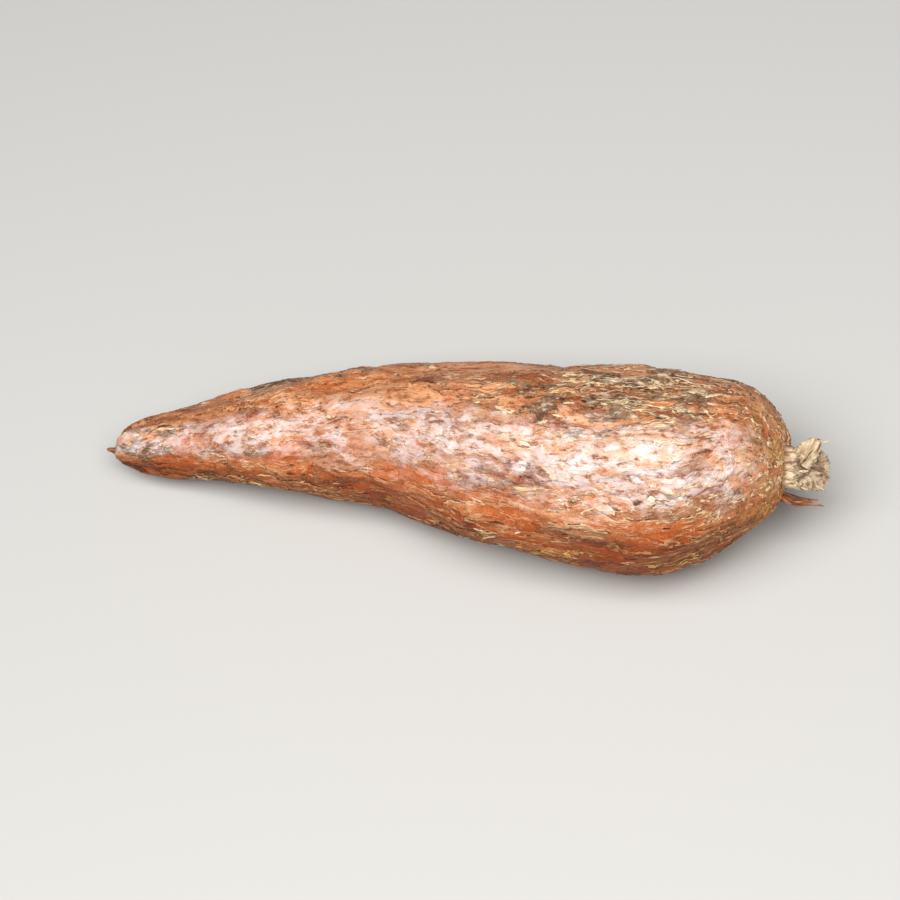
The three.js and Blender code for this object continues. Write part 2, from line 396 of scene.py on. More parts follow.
notch_at = facet / (2 * np.pi) * BREAK_SIDES
notch = np.interp(notch_at, range(BREAK_SIDES + 1), [*notches, notches[0]])
rays = PITH_RAY_HEIGHT * np.cos(PITH_RAYS * facet)
rays = rays + 0.32 * waves_round(facet, (17, 26, 39), 2.0)
rays = rays + 0.22 * waves_round(facet, (31, 47), share * 9)
ragged = 0.55 * waves_round(facet, (23, 37, 53), 0.4) * inside**3
at_break = smooth_step(BREAK_FROM, BREAK_FULL, np.maximum(past, 0) / NECK_LENGTH)
rough = at_break * (notch * inside**4 + 4 * inside * (1 - inside) * rays + ragged)
broken = past * neck_left(facet, inside) + rough
neck_along = NECK_FOOT + np.where(past > 0, broken, past)

grooves = 0.05 * waves_round(facet, (9, 13, 19, 29, 43), past * 0.3) * (1 - face)
corners = NECK_SQUARENESS * np.cos(4 * (facet - NECK_CORNER))
squared = NECK_RADIUS * share * (1 + corners + grooves)
star = face * smooth_step(0.1, 0.9, np.cos(PITH_RAYS * facet + 2.5 * share + math.pi))
star = star * smooth_step(0.1, 0.3, share) * smooth_step(1.0, 0.7, share)

neck_across, neck_up = squared * np.cos(facet), squared * np.sin(facet)
neck_rings = in_part(neck_along, NECK_SHIFT + neck_across, NECK_HEIGHT + neck_up)
wood_place = np.stack([neck_along, neck_across, neck_up], -1) * MM
neck = mesh_object("neck", [shell(neck_rings, wood_place=wood_place, star=star)])

# %% [markdown]
# ## Splinters, strands and a tongue of bark
# Where wood snaps, strips of it stay standing: here a broad splinter with a thread at its tip,
# a fringe of strands round the rim, and below them a tongue of bark that tore loose and frayed.
# Hair curves would be quick, but hair isn't exported. Each is a flat strand made as a mesh:
# rings along a curved path, wide across and thin through, worn by noise, with a rounded tip. The
# stub of the thin root at the tail is such a strand too.

# %% Strands along a path
WEAR_NOISE = 4  # lumps of wear along a strand
TIP_STARTS, TIP_LENGTH = 0.86, 0.145  # shares of a strand's length


def ragged_at(far, turn):
    """Noise round a strand, coarse and fine."""
    near = Vector((far, math.cos(turn) * 1.6, math.sin(turn) * 1.6))
    return noise.noise(near) + 0.6 * noise.noise(near * 3.1)


def half_sizes(share, sizes):
    """Half of a strand's width or thickness at shares of its length, with a rounded tip."""
    rounded = 1 - ((share - TIP_STARTS) / TIP_LENGTH).clip(0) ** 2
    at = np.linspace(0, 1, len(sizes))
    return np.interp(share, at, sizes) / 2 * np.sqrt(np.clip(rounded, 0.02, 1))


def directions(points, across):
    """For each point of a path, the direction across it and the one through it."""
    ahead = np.gradient(points, axis=0)
    ahead /= np.linalg.norm(ahead, axis=1, keepdims=True)
    across = np.array(across, float)
    side = across - (ahead @ across)[:, None] * ahead
    side /= np.linalg.norm(side, axis=1, keepdims=True)
    return side, np.cross(ahead, side)


def strand(path, widths, thicknesses, across, rings, sides, cup=0.0, wear=0.0, seed=0):
    """A closed flat strand along a path in mm, with the values the woody finishes read."""
    points = smooth_curve(path, rings - 1, True)
    share = np.linspace(0, 1, rings)
    wide, deep = half_sizes(share, widths), half_sizes(share, thicknesses)
    side, through = directions(points, across)
    turn = np.linspace(0, 2 * np.pi, sides, endpoint=False)
    worn = np.array([[ragged_at(s * WEAR_NOISE + seed * 3, t) for t in turn] for s in share])
    worn = 1 + wear * worn
    u = wide[:, None] * np.cos(turn) * worn
    v = deep[:, None] * np.sin(turn) * worn - cup * (u / wide.max()) ** 2
    at = points[:, None] + u[..., None] * side[:, None] + v[..., None] * through[:, None]
    place = np.stack([at[..., 0], u + seed * 7, v], -1) * MM
    return shell(in_part(*np.moveaxis(at, -1, 0)), wood_place=place, star=np.zeros_like(u))


half_widths = half_sizes(np.array([0, 0.9, 1]), [2, 2])
print("half widths of a 2 mm strand at its foot, near its tip and there:", half_widths.round(2))


# %% The splinter and its thread
splinter = strand(
    [neck_point(4.6, 1.35, 0.5), neck_point(6.6, 1.3, 0.95),
     neck_point(8.2, 1.24, 1.36), neck_point(9.0, 1.18, 1.72)],
    widths=[7.4, 6.8, 5.4, 3.4], thicknesses=[2.6, 2.2, 1.7, 1.1], across=(1, 0, 0),
    rings=56, sides=40, cup=0.6, wear=0.3, seed=1,
)
thread = strand(
    [neck_point(7.7, 1.18, 1.46), neck_point(9.6, 1.14, 1.62),
     neck_point(11.4, 1.12, 1.54), neck_point(12.8, 1.1, 1.6)],
    widths=[1.3, 0.8, 0.6, 0.5], thicknesses=[1.1, 0.7, 0.5, 0.4], across=(0, 1, 0),
    rings=16, sides=7, wear=0.2, seed=2,
)
print("splinter points:", len(splinter["points"]), "thread points:", len(thread["points"]))

# %% The fringe of torn strands
FRINGE_COUNT, FRINGE_SPLITS = 13, 3  # bundles round the rim, and strands in each
FRINGE_WIDTH, FRINGE_ROOT = 1.3, 1.9
FRINGE_SHORTEST, FRINGE_SPREAD = 2.5, 1.9
FRINGE_RIM = 0.86  # share of the neck's radius at which most bundles stand

fringe_random = random_from(RELIEF_SEED + 2)


def draw(least=0.0, span=1.0):
    """The fringe's next random number."""
    return least + span * next(fringe_random)


fringe = []
for i in range(FRINGE_COUNT):
    at = i / FRINGE_COUNT * 2 * math.pi + draw(-0.5) * 0.3
    out = draw(0.42, 0.2) if i % 3 == 2 else FRINGE_RIM
    broken_at = NECK_LENGTH * float(neck_left(at, out))
    reach = draw(FRINGE_SHORTEST, FRINGE_SPREAD) - FRINGE_ROOT
    lean, spread = draw(-0.5) * 0.4, draw(0.06, 0.14)
    for k in range(FRINGE_SPLITS):
        turned = at + (k - 1) * 0.07
        foot = neck_point(broken_at - FRINGE_ROOT, turned, out - 0.04)
        tip = neck_point(broken_at + reach * (1 - 0.22 * k), turned + lean, out + spread)
        bent = (foot + tip) / 2 + np.array([0, 0.12 * (k - 1), 0.1])
        size = FRINGE_WIDTH * (0.62 - 0.1 * k)
        fringe.append(strand(
            [foot, bent, tip], widths=[size, size * 0.8, size * 0.45],
            thicknesses=[size * 0.7, size * 0.5, size * 0.3], across=(0, 1, 0.2),
            rings=9, sides=6, wear=0.3, seed=i * FRINGE_SPLITS + k,
        ))
splinters = mesh_object("neck_splinters", [splinter, thread, *fringe])

# %% The tongue of bark
TONGUE_ANGLE = -2.32  # round the neck
TONGUE_WIDEST = 4.6
TONGUE_STRIPS = [  # turn from the middle, reach past the foot, lift of the tip, width, thickness
    (0.0, 9.4, 1.55, TONGUE_WIDEST, 1.5), (-0.2, 7.0, 1.42, 2.8, 1.2),
    (0.22, 8.2, 1.62, 2.6, 1.1), (0.08, 12.4, 1.66, 1.7, 0.9), (-0.1, 11.2, 1.5, 1.3, 0.8),
    (0.3, 10.4, 1.74, 1.0, 0.7), (-0.28, 5.4, 1.56, 1.2, 0.8),
]

strips = []
for i, (turn, reach, lift, wide, thick) in enumerate(TONGUE_STRIPS):
    at = TONGUE_ANGLE + turn
    path = [  # sunk in the bark, where it leaves the bark, half-way out, and the tip
        neck_point(-5, at, 1.2),
        neck_point(reach * 0.05, at, 1.36),
        neck_point(reach * 0.55, at + turn * 0.2, (1.42 + lift) / 2 + 0.05),
        neck_point(reach, at + turn * 0.5, lift),
    ]
    strips.append(strand(
        path, widths=[wide, wide, wide * 0.86, wide * 0.35],
        thicknesses=[thick * 1.3, thick, thick * 0.8, thick * 0.5], across=(0, 0.9, -0.5),
        rings=44, sides=20, cup=0.3 * wide / TONGUE_WIDEST, wear=0.36, seed=4 + i,
    ))
tongue = mesh_object("bark_tongue", strips)

# %% The stub at the tail
stub_path = [(4.5, -5.1, 8.5), (1.6, -5.4, 9.0), (-0.6, -5.7, 9.8), (-2.2, -6.0, 10.4)]
stub = strand(
    stub_path, widths=[3.8, 3.0, 1.7, 1.1], thicknesses=[3.2, 2.4, 1.5, 0.9], across=(0, 1, 0),
    rings=22, sides=14, wear=0.14, seed=6,
)
tail_stub = mesh_object("tail_stub", [stub])

# %% [markdown]
# ## Node helpers
# Materials and Geometry Nodes trees could be wired by hand in the editor, but a script shows every
# value and can be run again. Both are built from the same kinds of node, so a few short helpers
# serve both. A value given to a socket is either another node's output, which gets linked, or a
# plain number, which is typed into the socket.

# %% Adding nodes
def colour(text):
    """A colour written as six hex digits, as Blender's linear red, green, blue, alpha."""
    parts = [int(text[i : i + 2], 16) / 255 for i in (0, 2, 4)]
    linear = [p / 12.92 if p <= 0.04045 else ((p + 0.055) / 1.055) ** 2.4 for p in parts]
    return (*linear, 1.0)


def add(tree, kind, values=None, **settings):
    """Adds a node with its settings, and links or types in its inputs."""
    made = tree.nodes.new(kind)
    for name, setting in settings.items():
        setattr(made, name, setting)
    for name, value in (values or {}).items():
        if isinstance(value, bpy.types.NodeSocket):
            tree.links.new(value, made.inputs[name])
        else:
            made.inputs[name].default_value = value
    return made


def new_group(kind, name, inputs, outputs):
    """A node group with named sockets, each given as a name and a kind of socket."""
    tree = bpy.data.node_groups.new(name, kind)
    for label, socket in inputs.items():
        tree.interface.new_socket(label, in_out="INPUT", socket_type="NodeSocket" + socket)
    for label, socket in outputs.items():
        tree.interface.new_socket(label, in_out="OUTPUT", socket_type="NodeSocket" + socket)
    return tree, add(tree, "NodeGroupInput").outputs, add(tree, "NodeGroupOutput").inputs


def new_material(name, **settings):
    """A material, its tree and its Principled BSDF with values that hold all over."""
    material = bpy.data.materials.new(name)
    material.use_nodes = True
    shader = material.node_tree.nodes["Principled BSDF"]
    for label, value in settings.items():
        shader.inputs[label.replace("_", " ")].default_value = value
    return material, material.node_tree, shader


print("white as linear numbers:", colour("ffffff"))

# %% Sums, blends and soft steps
def maths(tree, operation, *values, clamp=False):
    """A Math node's result."""
    node = add(tree, "ShaderNodeMath", dict(enumerate(values)), operation=operation)
    node.use_clamp = clamp
    return node.outputs[0]


def product(tree, *values):
    """All the values multiplied."""
    result = values[0]
    for value in values[1:]:
        result = maths(tree, "MULTIPLY", result, value)
    return result


def greatest(tree, *values):
    """The greatest of the values."""
    result = values[0]
    for value in values[1:]:
        result = maths(tree, "MAXIMUM", result, value)
    return result


def vector_maths(tree, operation, *values):
    """A Vector Math node's result."""
    node = add(tree, "ShaderNodeVectorMath", dict(enumerate(values)), operation=operation)
    return node.outputs["Value" if operation == "DOT_PRODUCT" else "Vector"]


def fade(tree, value, low, high, low_gives=0.0, high_gives=1.0):
    """A soft step: low_gives up to low, high_gives from high on."""
    values = {
        "Value": value, "From Min": low, "From Max": high,
        "To Min": low_gives, "To Max": high_gives,
    }
    return add(tree, "ShaderNodeMapRange", values, interpolation_type="SMOOTHSTEP").outputs[0]


def mixed(tree, factor, first, second, blend="MIX"):
    """Two colours blended: the first where the factor is 0, the second where it is 1."""
    values = {0: factor, 6: first, 7: second}
    return add(tree, "ShaderNodeMix", values, data_type="RGBA", blend_type=blend).outputs[2]


# %% Patterns of noise
def noise_value(tree, place, size, detail, roughness=0.55):
    """Noise from 0 to 1. A greater size gives smaller lumps, and detail adds finer ones."""
    values = {"Vector": place, "Scale": size, "Detail": detail, "Roughness": roughness}
    return add(tree, "ShaderNodeTexNoise", values).outputs[0]


def drawn_out(tree, place, share):
    """The place with its X squeezed, which draws a pattern out along the root."""
    return vector_maths(tree, "MULTIPLY", place, (share, 1, 1))


def wandered(tree, place, size, reach):
    """The place pushed about by soft noise, so that straight patterns wander."""
    pushed = add(tree, "ShaderNodeTexNoise", {"Vector": place, "Scale": size, "Detail": 1.0})
    centred = vector_maths(tree, "SUBTRACT", pushed.outputs["Color"], (0.5, 0.5, 0.5))
    push = vector_maths(tree, "MULTIPLY", centred, (reach, reach, reach))
    return vector_maths(tree, "ADD", place, push)


def distance_along(tree, place):
    """How far along the root a place is."""
    return add(tree, "ShaderNodeSeparateXYZ", {0: place}).outputs["X"]


# %% [markdown]
# ## Where the bark is rough, rusty or pale
# Bark isn't the same all over. Where the root lay against stones or its neighbours, old cork is
# left in rough patches; elsewhere it has rubbed off down to a smooth skin that is rust red or
# pale. Such places could be painted by hand as a mask. Here a spot is a place on the bark
# (millimetres from the tail, degrees round from the left side) with a reach. The strength of the
# spots is worked out once for every point and stored on the mesh, which is quicker to render
# than nodes that work it out again and again. Noise breaks up their edges later.

# %% Named spots on the bark
SPOTS = {  # mm along the skin, degrees round, reach in mm, stretch along the root
    "rough": [
        (165, 70, 15, 1.9), (16, 118, 6, 1.5), (60, 34, 9, 2.6), (150, 320, 15, 2.0),
        (92, 262, 12, 2.4), (196, 10, 9, 1.2), (40, 210, 7, 2.0),
    ],
    "rusted": [
        (98, 155, 12, 2.0), (64, 155, 8, 2.0), (136, 159, 9, 2.2), (128, 20, 14, 1.8),
        (170, 236, 13, 1.6), (34, 158, 6, 1.8), (60, 330, 11, 2.0), (108, 174, 10, 2.2),
        (170, 168, 9, 2.2),
    ],
    "peeling": [
        (132, 172, 14, 3.0), (172, 160, 18, 2.0), (168, 66, 17, 2.0), (62, 186, 10, 2.4),
        (110, 300, 16, 2.4), (190, 200, 14, 1.4), (170, 350, 14, 2.0),
    ],
    "pale": [
        (14, 120, 7, 1.6), (176, 118, 12, 1.6), (104, 104, 11, 3.0), (30, 300, 8, 1.8),
        (158, 100, 7, 1.6), (196, 118, 7, 1.2), (131, 95, 9, 1.4),
    ],
}
SPOT_SOFTNESS = 0.85  # share of the reach over which a spot fades


def spot_strength(places, spots):
    """The strongest of several soft spots at each place on the bark, from 0 to 1."""
    strongest = np.zeros((len(places), 1))
    for far, degrees, reach, stretch in spots:
        turn = math.radians(degrees)
        at_radius = np.interp(far, skin_length, outline[:, 1])
        centre = (far / stretch, at_radius * math.cos(turn), at_radius * math.sin(turn))
        off = places * (1 / stretch, 1, 1) - np.array(centre) * MM
        away = np.linalg.norm(off, axis=1, keepdims=True) / (reach * MM)
        near = 1 - smooth_step(1 - SPOT_SOFTNESS, 1 + SPOT_SOFTNESS, away)
        strongest = np.maximum(strongest, near)
    return strongest


on_bark = np.empty((len(body.data.vertices), 3), np.float32)
body.data.attributes["bark_place"].data.foreach_get("vector", on_bark.ravel())
for name, spots in SPOTS.items():
    strength = spot_strength(on_bark, spots)
    store(body.data, name, strength)
    print(name, "share of the bark:", round(float(strength.mean()), 2))

# %% [markdown]
# ## The patterns of the bark
# Each pattern is a rule from a place to a number, and the mesh and the finish use the same rules,
# so a patch of cork is raised exactly where it is coloured. They could be shader groups, but
# Geometry Nodes can't use those, so each rule is a function that adds its nodes to either kind
# of tree. All are drawn out along the root, as bark tears that way.

# %% Places and sides of the root
# The wax side faces halfway between the camera and the overhead light: the thickest wax and a
# painted sheen lie there.
WAX_AND_SHEEN_SIDE, TOP_SIDE = 121.0, 90.0  # degrees round the root
SHOULDER_START, SHOULDER_FULL = 194, 214  # mm along the skin


def stored(tree, name):
    """A value stored on the mesh, for either kind of tree."""
    if tree.bl_idname == "GeometryNodeTree":
        values = {"Name": name}
        return add(tree, "GeometryNodeInputNamedAttribute", values, data_type="FLOAT").outputs[0]
    return add(tree, "ShaderNodeAttribute", attribute_name=name).outputs["Fac"]


def torn_place(tree, place):
    """The place as torn bark follows it: pushed about in large and then in small."""
    return wandered(tree, wandered(tree, place, 110, 5 * MM), 500, 1 * MM)


def facing(tree, place, degrees, ragged):
    """How far a place faces a side of the root: some 1.25 there, less elsewhere, ragged."""
    outward = vector_maths(tree, "NORMALIZE", vector_maths(tree, "MULTIPLY", place, (0, 1, 1)))
    side = math.radians(degrees)
    share = vector_maths(tree, "DOT_PRODUCT", outward, (0, math.cos(side), math.sin(side)))
    return maths(tree, "ADD", share, maths(tree, "MULTIPLY", ragged, 0.5))


def shoulder_rule(tree, place):
    """1 on the shoulder round the neck."""
    far = distance_along(tree, place)
    return fade(tree, far, SHOULDER_START * MM, SHOULDER_FULL * MM)


def patch_rule(tree, place, size, level, shift):
    """1 in soft patches of noise above a level: where finer marks show at all."""
    moved = vector_maths(tree, "ADD", place, (0, shift, shift))
    return fade(tree, noise_value(tree, drawn_out(tree, moved, 0.5), size, 3), level, level + 0.1)


print("shoulder from", SHOULDER_START, "mm of a skin", round(float(skin_length[-1])), "mm long")


# %% [markdown]
# ## Cork, layers, cracks and peeling edges
# Rough cork is a noise cut off at a level. The layers are terraces: a drawn-out noise times a
# count, whose whole part says which layer is on top and whose fraction climbs to that layer's
# edge. A crack is a thin sliver, which the stretch makes of the small ball round the centre of a
# Voronoi cell. Bark peels where a layer's edge is near and a spot or the shoulder says so.

# %% Rules for the bark
CORK_LEVEL, CORK_ROUGHNESS, CORK_SPOTS = 0.66, 0.72, 0.185
LAYER_STRETCH = 0.17
LAYERS = {"size": 90, "count": 10, "shift": 0.0}
FINE_LAYERS = {"size": 260, "count": 6, "shift": 0.37}
LAYER_TONE_STEP = 0.618  # spreads the tones of neighbouring layers apart
CRACK_SIZE, CRACK_STRETCH, CRACK_HALF_WIDTH = 560, 0.13, 0.22
PEEL_SPOTS, PEEL_FROM, PEEL_FULL = 0.175, 0.58, 0.66


def cork_rule(tree, place):
    """Above CORK_LEVEL where rough outer cork is left."""
    grain_place = drawn_out(tree, wandered(tree, place, 90, 8 * MM), 0.36)
    patches = noise_value(tree, grain_place, 190, 8, CORK_ROUGHNESS)
    return maths(tree, "ADD", patches, maths(tree, "MULTIPLY", stored(tree, "rough"), CORK_SPOTS))


def layer_rule(tree, torn, size, count, shift):
    """Worn layers of bark: a tone from 0 to 1 for the layer on top, and 0 to 1 up to its edge."""
    moved = vector_maths(tree, "ADD", drawn_out(tree, torn, LAYER_STRETCH), (shift, shift, 0))
    depth = maths(tree, "MULTIPLY", noise_value(tree, moved, size, 4), count)
    layer = maths(tree, "FLOOR", depth)
    tone = maths(tree, "FRACT", maths(tree, "MULTIPLY", layer, LAYER_TONE_STEP))
    return tone, maths(tree, "FRACT", depth)


def crack_rule(tree, place, torn):
    """1 in cracks: thin slivers that lie along the root, in patches."""
    moved = vector_maths(tree, "ADD", torn, (0.31, 0.2, 0.1))
    values = {"Vector": drawn_out(tree, moved, CRACK_STRETCH), "Scale": CRACK_SIZE}
    away = add(tree, "ShaderNodeTexVoronoi", values).outputs[0]
    slivers = fade(tree, away, CRACK_HALF_WIDTH * 0.55, CRACK_HALF_WIDTH, 1, 0)
    return maths(tree, "MULTIPLY", slivers, patch_rule(tree, place, 140, 0.44, 0.17))


def peel_rule(tree, place, up_to_edge, shift=0.0):
    """1 on the lifted, pale edges of layers, where the bark peels."""
    peeling = greatest(tree, stored(tree, "peeling"), shoulder_rule(tree, place))
    moved = vector_maths(tree, "ADD", place, (0, 0.53 + shift, 0.53))
    noisy = noise_value(tree, drawn_out(tree, moved, 0.3), 200, 3)
    likely = maths(tree, "ADD", noisy, maths(tree, "MULTIPLY", peeling, PEEL_SPOTS))
    shown = fade(tree, likely, PEEL_FROM, PEEL_FULL)
    return maths(tree, "MULTIPLY", fade(tree, up_to_edge, 0.76, 0.92), shown)


crack_width = 2 * CRACK_HALF_WIDTH / CRACK_SIZE
crack_length = crack_width / CRACK_STRETCH
print("largest cracks, mm:", round(crack_length / MM, 1), "by", round(crack_width / MM, 1))

# %% [markdown]
# ## Raising the bark with Geometry Nodes
# The relief follows a rule over the whole surface, so Geometry Nodes move every point along its
# normal: up on cork and on peeling edges, down in cracks. A Displace modifier could do this from
# one texture, but not from these rules. The flat spot that the root lies on stays flat. The tree
# also stores how flaky the bark is at each point, because loose flakes hang at the cork's edge.

# %% The height of the bark
LIES_BELOW, FREE_ABOVE = 0.2 * MM, 3 * MM  # heights over the floor between which it fades in


def bark_height(tree, given, place, cork):
    """How far each point of the bark is raised."""
    torn = torn_place(tree, place)
    up_to_edge = layer_rule(tree, torn, **LAYERS)[1]
    lifted = maths(tree, "POWER", up_to_edge, 2.0)
    lifted = maths(tree, "MULTIPLY", lifted, fade(tree, up_to_edge, 1, 0.93))
    streaks = noise_value(tree, drawn_out(tree, place, 0.24), 420, 5, 0.65)
    lumps = noise_value(tree, drawn_out(tree, place, 0.55), 150, 2, 0.5)
    raised = fade(tree, cork, CORK_LEVEL - 0.02, CORK_LEVEL + 0.03)
    height = maths(tree, "MULTIPLY", raised, given["Cork height"])
    for amount, rule in (
        (given["Lump height"], maths(tree, "SUBTRACT", lumps, 0.5)),
        (given["Layer height"], lifted),
        (given["Peel height"], peel_rule(tree, place, up_to_edge)),
        (maths(tree, "MULTIPLY", given["Crack depth"], -1), crack_rule(tree, place, torn)),
        (given["Grain height"], maths(tree, "SUBTRACT", streaks, 0.5)),
    ):
        height = maths(tree, "ADD", height, maths(tree, "MULTIPLY", amount, rule))
    position = add(tree, "GeometryNodeInputPosition").outputs[0]
    above = add(tree, "ShaderNodeSeparateXYZ", {0: position}).outputs["Z"]
    return maths(tree, "MULTIPLY", height, fade(tree, above, LIES_BELOW, FREE_ABOVE))


def flakiness(tree, place, cork):
    """1 at the cork's edge where the bark peels, and little elsewhere."""
    off_edge = maths(tree, "ABSOLUTE", maths(tree, "SUBTRACT", cork, CORK_LEVEL))
    loose = greatest(tree, stored(tree, "peeling"), shoulder_rule(tree, place))
    loose = maths(tree, "ADD", loose, 0.1, clamp=True)
    return maths(tree, "MULTIPLY", fade(tree, off_edge, 0.0, 0.09, 1, 0.15), loose)


# %% The bark relief tree
def keep_on_points(tree, geometry, name, value, domain="POINT"):
    """Stores a value on the geometry inside a tree."""
    values = {"Geometry": geometry, "Name": name, "Value": value}
    kept = add(tree, "GeometryNodeStoreNamedAttribute", values, data_type="FLOAT", domain=domain)
    return kept.outputs[0]


def end_tree(tree, geometry, material, result):
    """Ends a tree in plain geometry with its finish."""
    whole = add(tree, "GeometryNodeRealizeInstances", {"Geometry": geometry}).outputs[0]
    values = {"Geometry": whole, "Material": material}
    tree.links.new(add(tree, "GeometryNodeSetMaterial", values).outputs[0], result["Geometry"])


def bark_relief_tree(material):
    """The tree that raises the bark of a mesh that has a bark_place."""
    heights = ("Lump height", "Cork height", "Layer height", "Peel height", "Crack depth",
               "Grain height")
    tree, given, result = new_group(
        "GeometryNodeTree", "bark relief",
        {"Geometry": "Geometry", **{name: "Float" for name in heights}},
        {"Geometry": "Geometry"},
    )
    place = add(tree, "GeometryNodeInputNamedAttribute", {"Name": "bark_place"},
                data_type="FLOAT_VECTOR").outputs[0]
    cork = cork_rule(tree, place)
    normal = add(tree, "GeometryNodeInputNormal").outputs[0]
    values = {0: normal, "Scale": bark_height(tree, given, place, cork)}
    offset = add(tree, "ShaderNodeVectorMath", values, operation="SCALE").outputs["Vector"]
    values = {"Geometry": given["Geometry"], "Offset": offset}
    moved = add(tree, "GeometryNodeSetPosition", values).outputs[0]
    kept = keep_on_points(tree, moved, "flaky", flakiness(tree, place, cork))
    end_tree(tree, kept, material, result)
    print(tree.name, "nodes:", len(tree.nodes))
    return tree


# %% Running a tree on an object
def apply_nodes(obj, tree, **amounts):
    """Runs a Geometry Nodes tree on an object and keeps the result as its plain mesh."""
    modifier = obj.modifiers.new(tree.name, "NODES")
    modifier.node_group = tree
    for item in tree.interface.items_tree:
        label = item.name.replace(" ", "_").lower()
        if item.in_out == "INPUT" and label in amounts:
            modifier[item.identifier] = amounts[label]
    graph = bpy.context.evaluated_depsgraph_get()
    old = obj.data
    obj.data = bpy.data.meshes.new_from_object(obj.evaluated_get(graph), depsgraph=graph)
    obj.modifiers.clear()
    bpy.data.meshes.remove(old)
    obj.data.name = obj.name
    print(obj.name, "faces after", tree.name + ":", len(obj.data.polygons))


# %% [markdown]
# ## Food wax
# Roots for sale are dipped in wax. It lies in speckled patches, and every finish of the root has
# some. So it is a shader group, built once and placed in each material with its own thickness
# and roughness. The Principled BSDF stays in the material, and its coat is the wax.

# %% The wax coat group
def wax_coat_group():
    """Speckled wax: how thick the coat is, how rough the skin under it, and a fine height."""
    tree, given, result = new_group(
        "ShaderNodeTree", "wax coat",
        {"Place": "Vector", "Thickness": "Float", "Roughness": "Float"},
        {"Coat": "Float", "Roughness": "Float", "Height": "Float"},
    )
    blotches = noise_value(tree, given["Place"], 130, 4, 0.6)
    specks = noise_value(tree, given["Place"], 1500, 2, 0.5)
    patchy = fade(tree, blotches, 0.32, 0.6, 0.45, 1.0)
    speckled = fade(tree, specks, 0.3, 0.7, 0.8, 1.25)
    tree.links.new(product(tree, patchy, given["Thickness"]), result["Coat"])
    tree.links.new(product(tree, given["Roughness"], speckled), result["Roughness"])
    tree.links.new(maths(tree, "ADD", specks, blotches), result["Height"])
    return tree


wax_group = wax_coat_group()


def place_wax(tree, place, thickness, roughness):
    """The wax coat group in a material, with that material's own values."""
    wax = add(tree, "ShaderNodeGroup", node_tree=wax_group)
    tree.links.new(place, wax.inputs["Place"])
    wax.inputs["Thickness"].default_value = thickness
    wax.inputs["Roughness"].default_value = roughness
    return wax.outputs


print("wax coat nodes:", len(wax_group.nodes))

# %% [markdown]
# ## The colours of the bark
# The colour is built up as the root is. First comes a tan skin with pink and rust, then its worn
# layers, its mottling and the rust where it is rubbed, then a painted shade on its belly, which
# also stands for earth, and the shoulder, then old cork, then pale peeling edges and dark cracks,
# and milky wax on top, which is also a painted sheen where the light's reflection falls. An image
# could hold all this, but it would blur close by and stretch at the ends. Noise patterns stay
# sharp. They are worked out once, by name, and each step lays a tone over the colour so far.

# %% Tones and patterns
# The earth tone is multiplied over the belly as a painted shade that also stands for earth.
# The pale wax tone is milky wax and a painted sheen at once.
BARK_TONES = {
    "tan": "c4723e", "pink": "dd9b6c", "rust": "a0521d", "ember": "bb5818", "deep": "6a3112",
    "dark": "331709", "olive": "b8843c", "cork": "70583f", "cork_dark": "30231a",
    "wax_haze_and_sheen": "dccdc9", "cream": "e8cfa2", "crack": "1e0d06", "earth_and_shade": "bf9966",
    "gold": "d8ab66", "collar": "c27244", "lime": "cdbda4",
}
TONES = {name: colour(text) for name, text in BARK_TONES.items()}


def bark_patterns(tree, place):
    """The patterns that the steps of the finish share, by name."""
    grown, torn = drawn_out(tree, place, 0.45), torn_place(tree, place)
    found = {
        "clouds": noise_value(tree, wandered(tree, grown, 60, 10 * MM), 60, 6, 0.66),
        "blush": noise_value(tree, grown, 170, 6, 0.7),
        "rusty": noise_value(tree, grown, 130, 7, 0.7),
        "mottle": noise_value(tree, drawn_out(tree, place, 0.5), 520, 6, 0.75),
        "flecks": noise_value(tree, drawn_out(tree, place, 0.35), 1500, 3, 0.6),
        "grit": noise_value(tree, place, 2600, 2, 0.6),
        "streaks": noise_value(tree, drawn_out(tree, torn, 0.16), 700, 6, 0.72),
        "smears": noise_value(tree, drawn_out(tree, torn, 0.4), 300, 2, 0.5),
        "rusted": stored(tree, "rusted"),
        "pale": stored(tree, "pale"),
        "shoulder": shoulder_rule(tree, place),
        "cork": cork_rule(tree, place),
        "crack": crack_rule(tree, place, torn),
    }
    found["layer"], found["edge"] = layer_rule(tree, torn, **LAYERS)
    found["fine_layer"], found["fine_edge"] = layer_rule(tree, torn, **FINE_LAYERS)
    found["low"] = fade(tree, facing(tree, place, TOP_SIDE, found["blush"]), 0.85, 0.2)
    found["on_cork"] = fade(tree, found["cork"], CORK_LEVEL - 0.006, CORK_LEVEL + 0.03)
    found["under_edge"] = product(
        tree, fade(tree, found["edge"], 0.16, 0.0), patch_rule(tree, place, 200, 0.42, 0.3)
    )
    return found


def laid(tree, shown, tone, pattern, start, full, strength=1.0):
    """A tone laid over the colour where a pattern passes from start to full."""
    return mixed(tree, fade(tree, pattern, start, full, 0, strength), shown, TONES[tone])


print("tones of the bark:", len(TONES))

# %% The skin and its worn layers
LAYER_TONES = (("layer", 0.66), ("fine_layer", 0.4))  # pattern, strength
MOTTLING = (  # tone, pattern, where it starts, where it is full, strength
    ("pink", "mottle", 0.54, 0.66, 0.6), ("deep", "mottle", 0.46, 0.34, 0.7),
    ("cream", "flecks", 0.62, 0.7, 0.45), ("dark", "flecks", 0.4, 0.32, 0.8),
)


def skin_colour(tree, found):
    """Clouds of rust and tan with a pink blush, and pale spots of their own."""
    shown = mixed(tree, fade(tree, found["clouds"], 0.43, 0.59), TONES["rust"], TONES["tan"])
    pale = maths(tree, "MULTIPLY", found["pale"], 0.14)
    blushing = maths(tree, "ADD", found["blush"], pale)
    shown = laid(tree, shown, "pink", blushing, 0.5, 0.61, 0.82)
    shown = laid(tree, shown, "deep", found["blush"], 0.46, 0.36, 0.6)
    return laid(tree, shown, "ember", found["rusty"], 0.54, 0.64, 0.85)


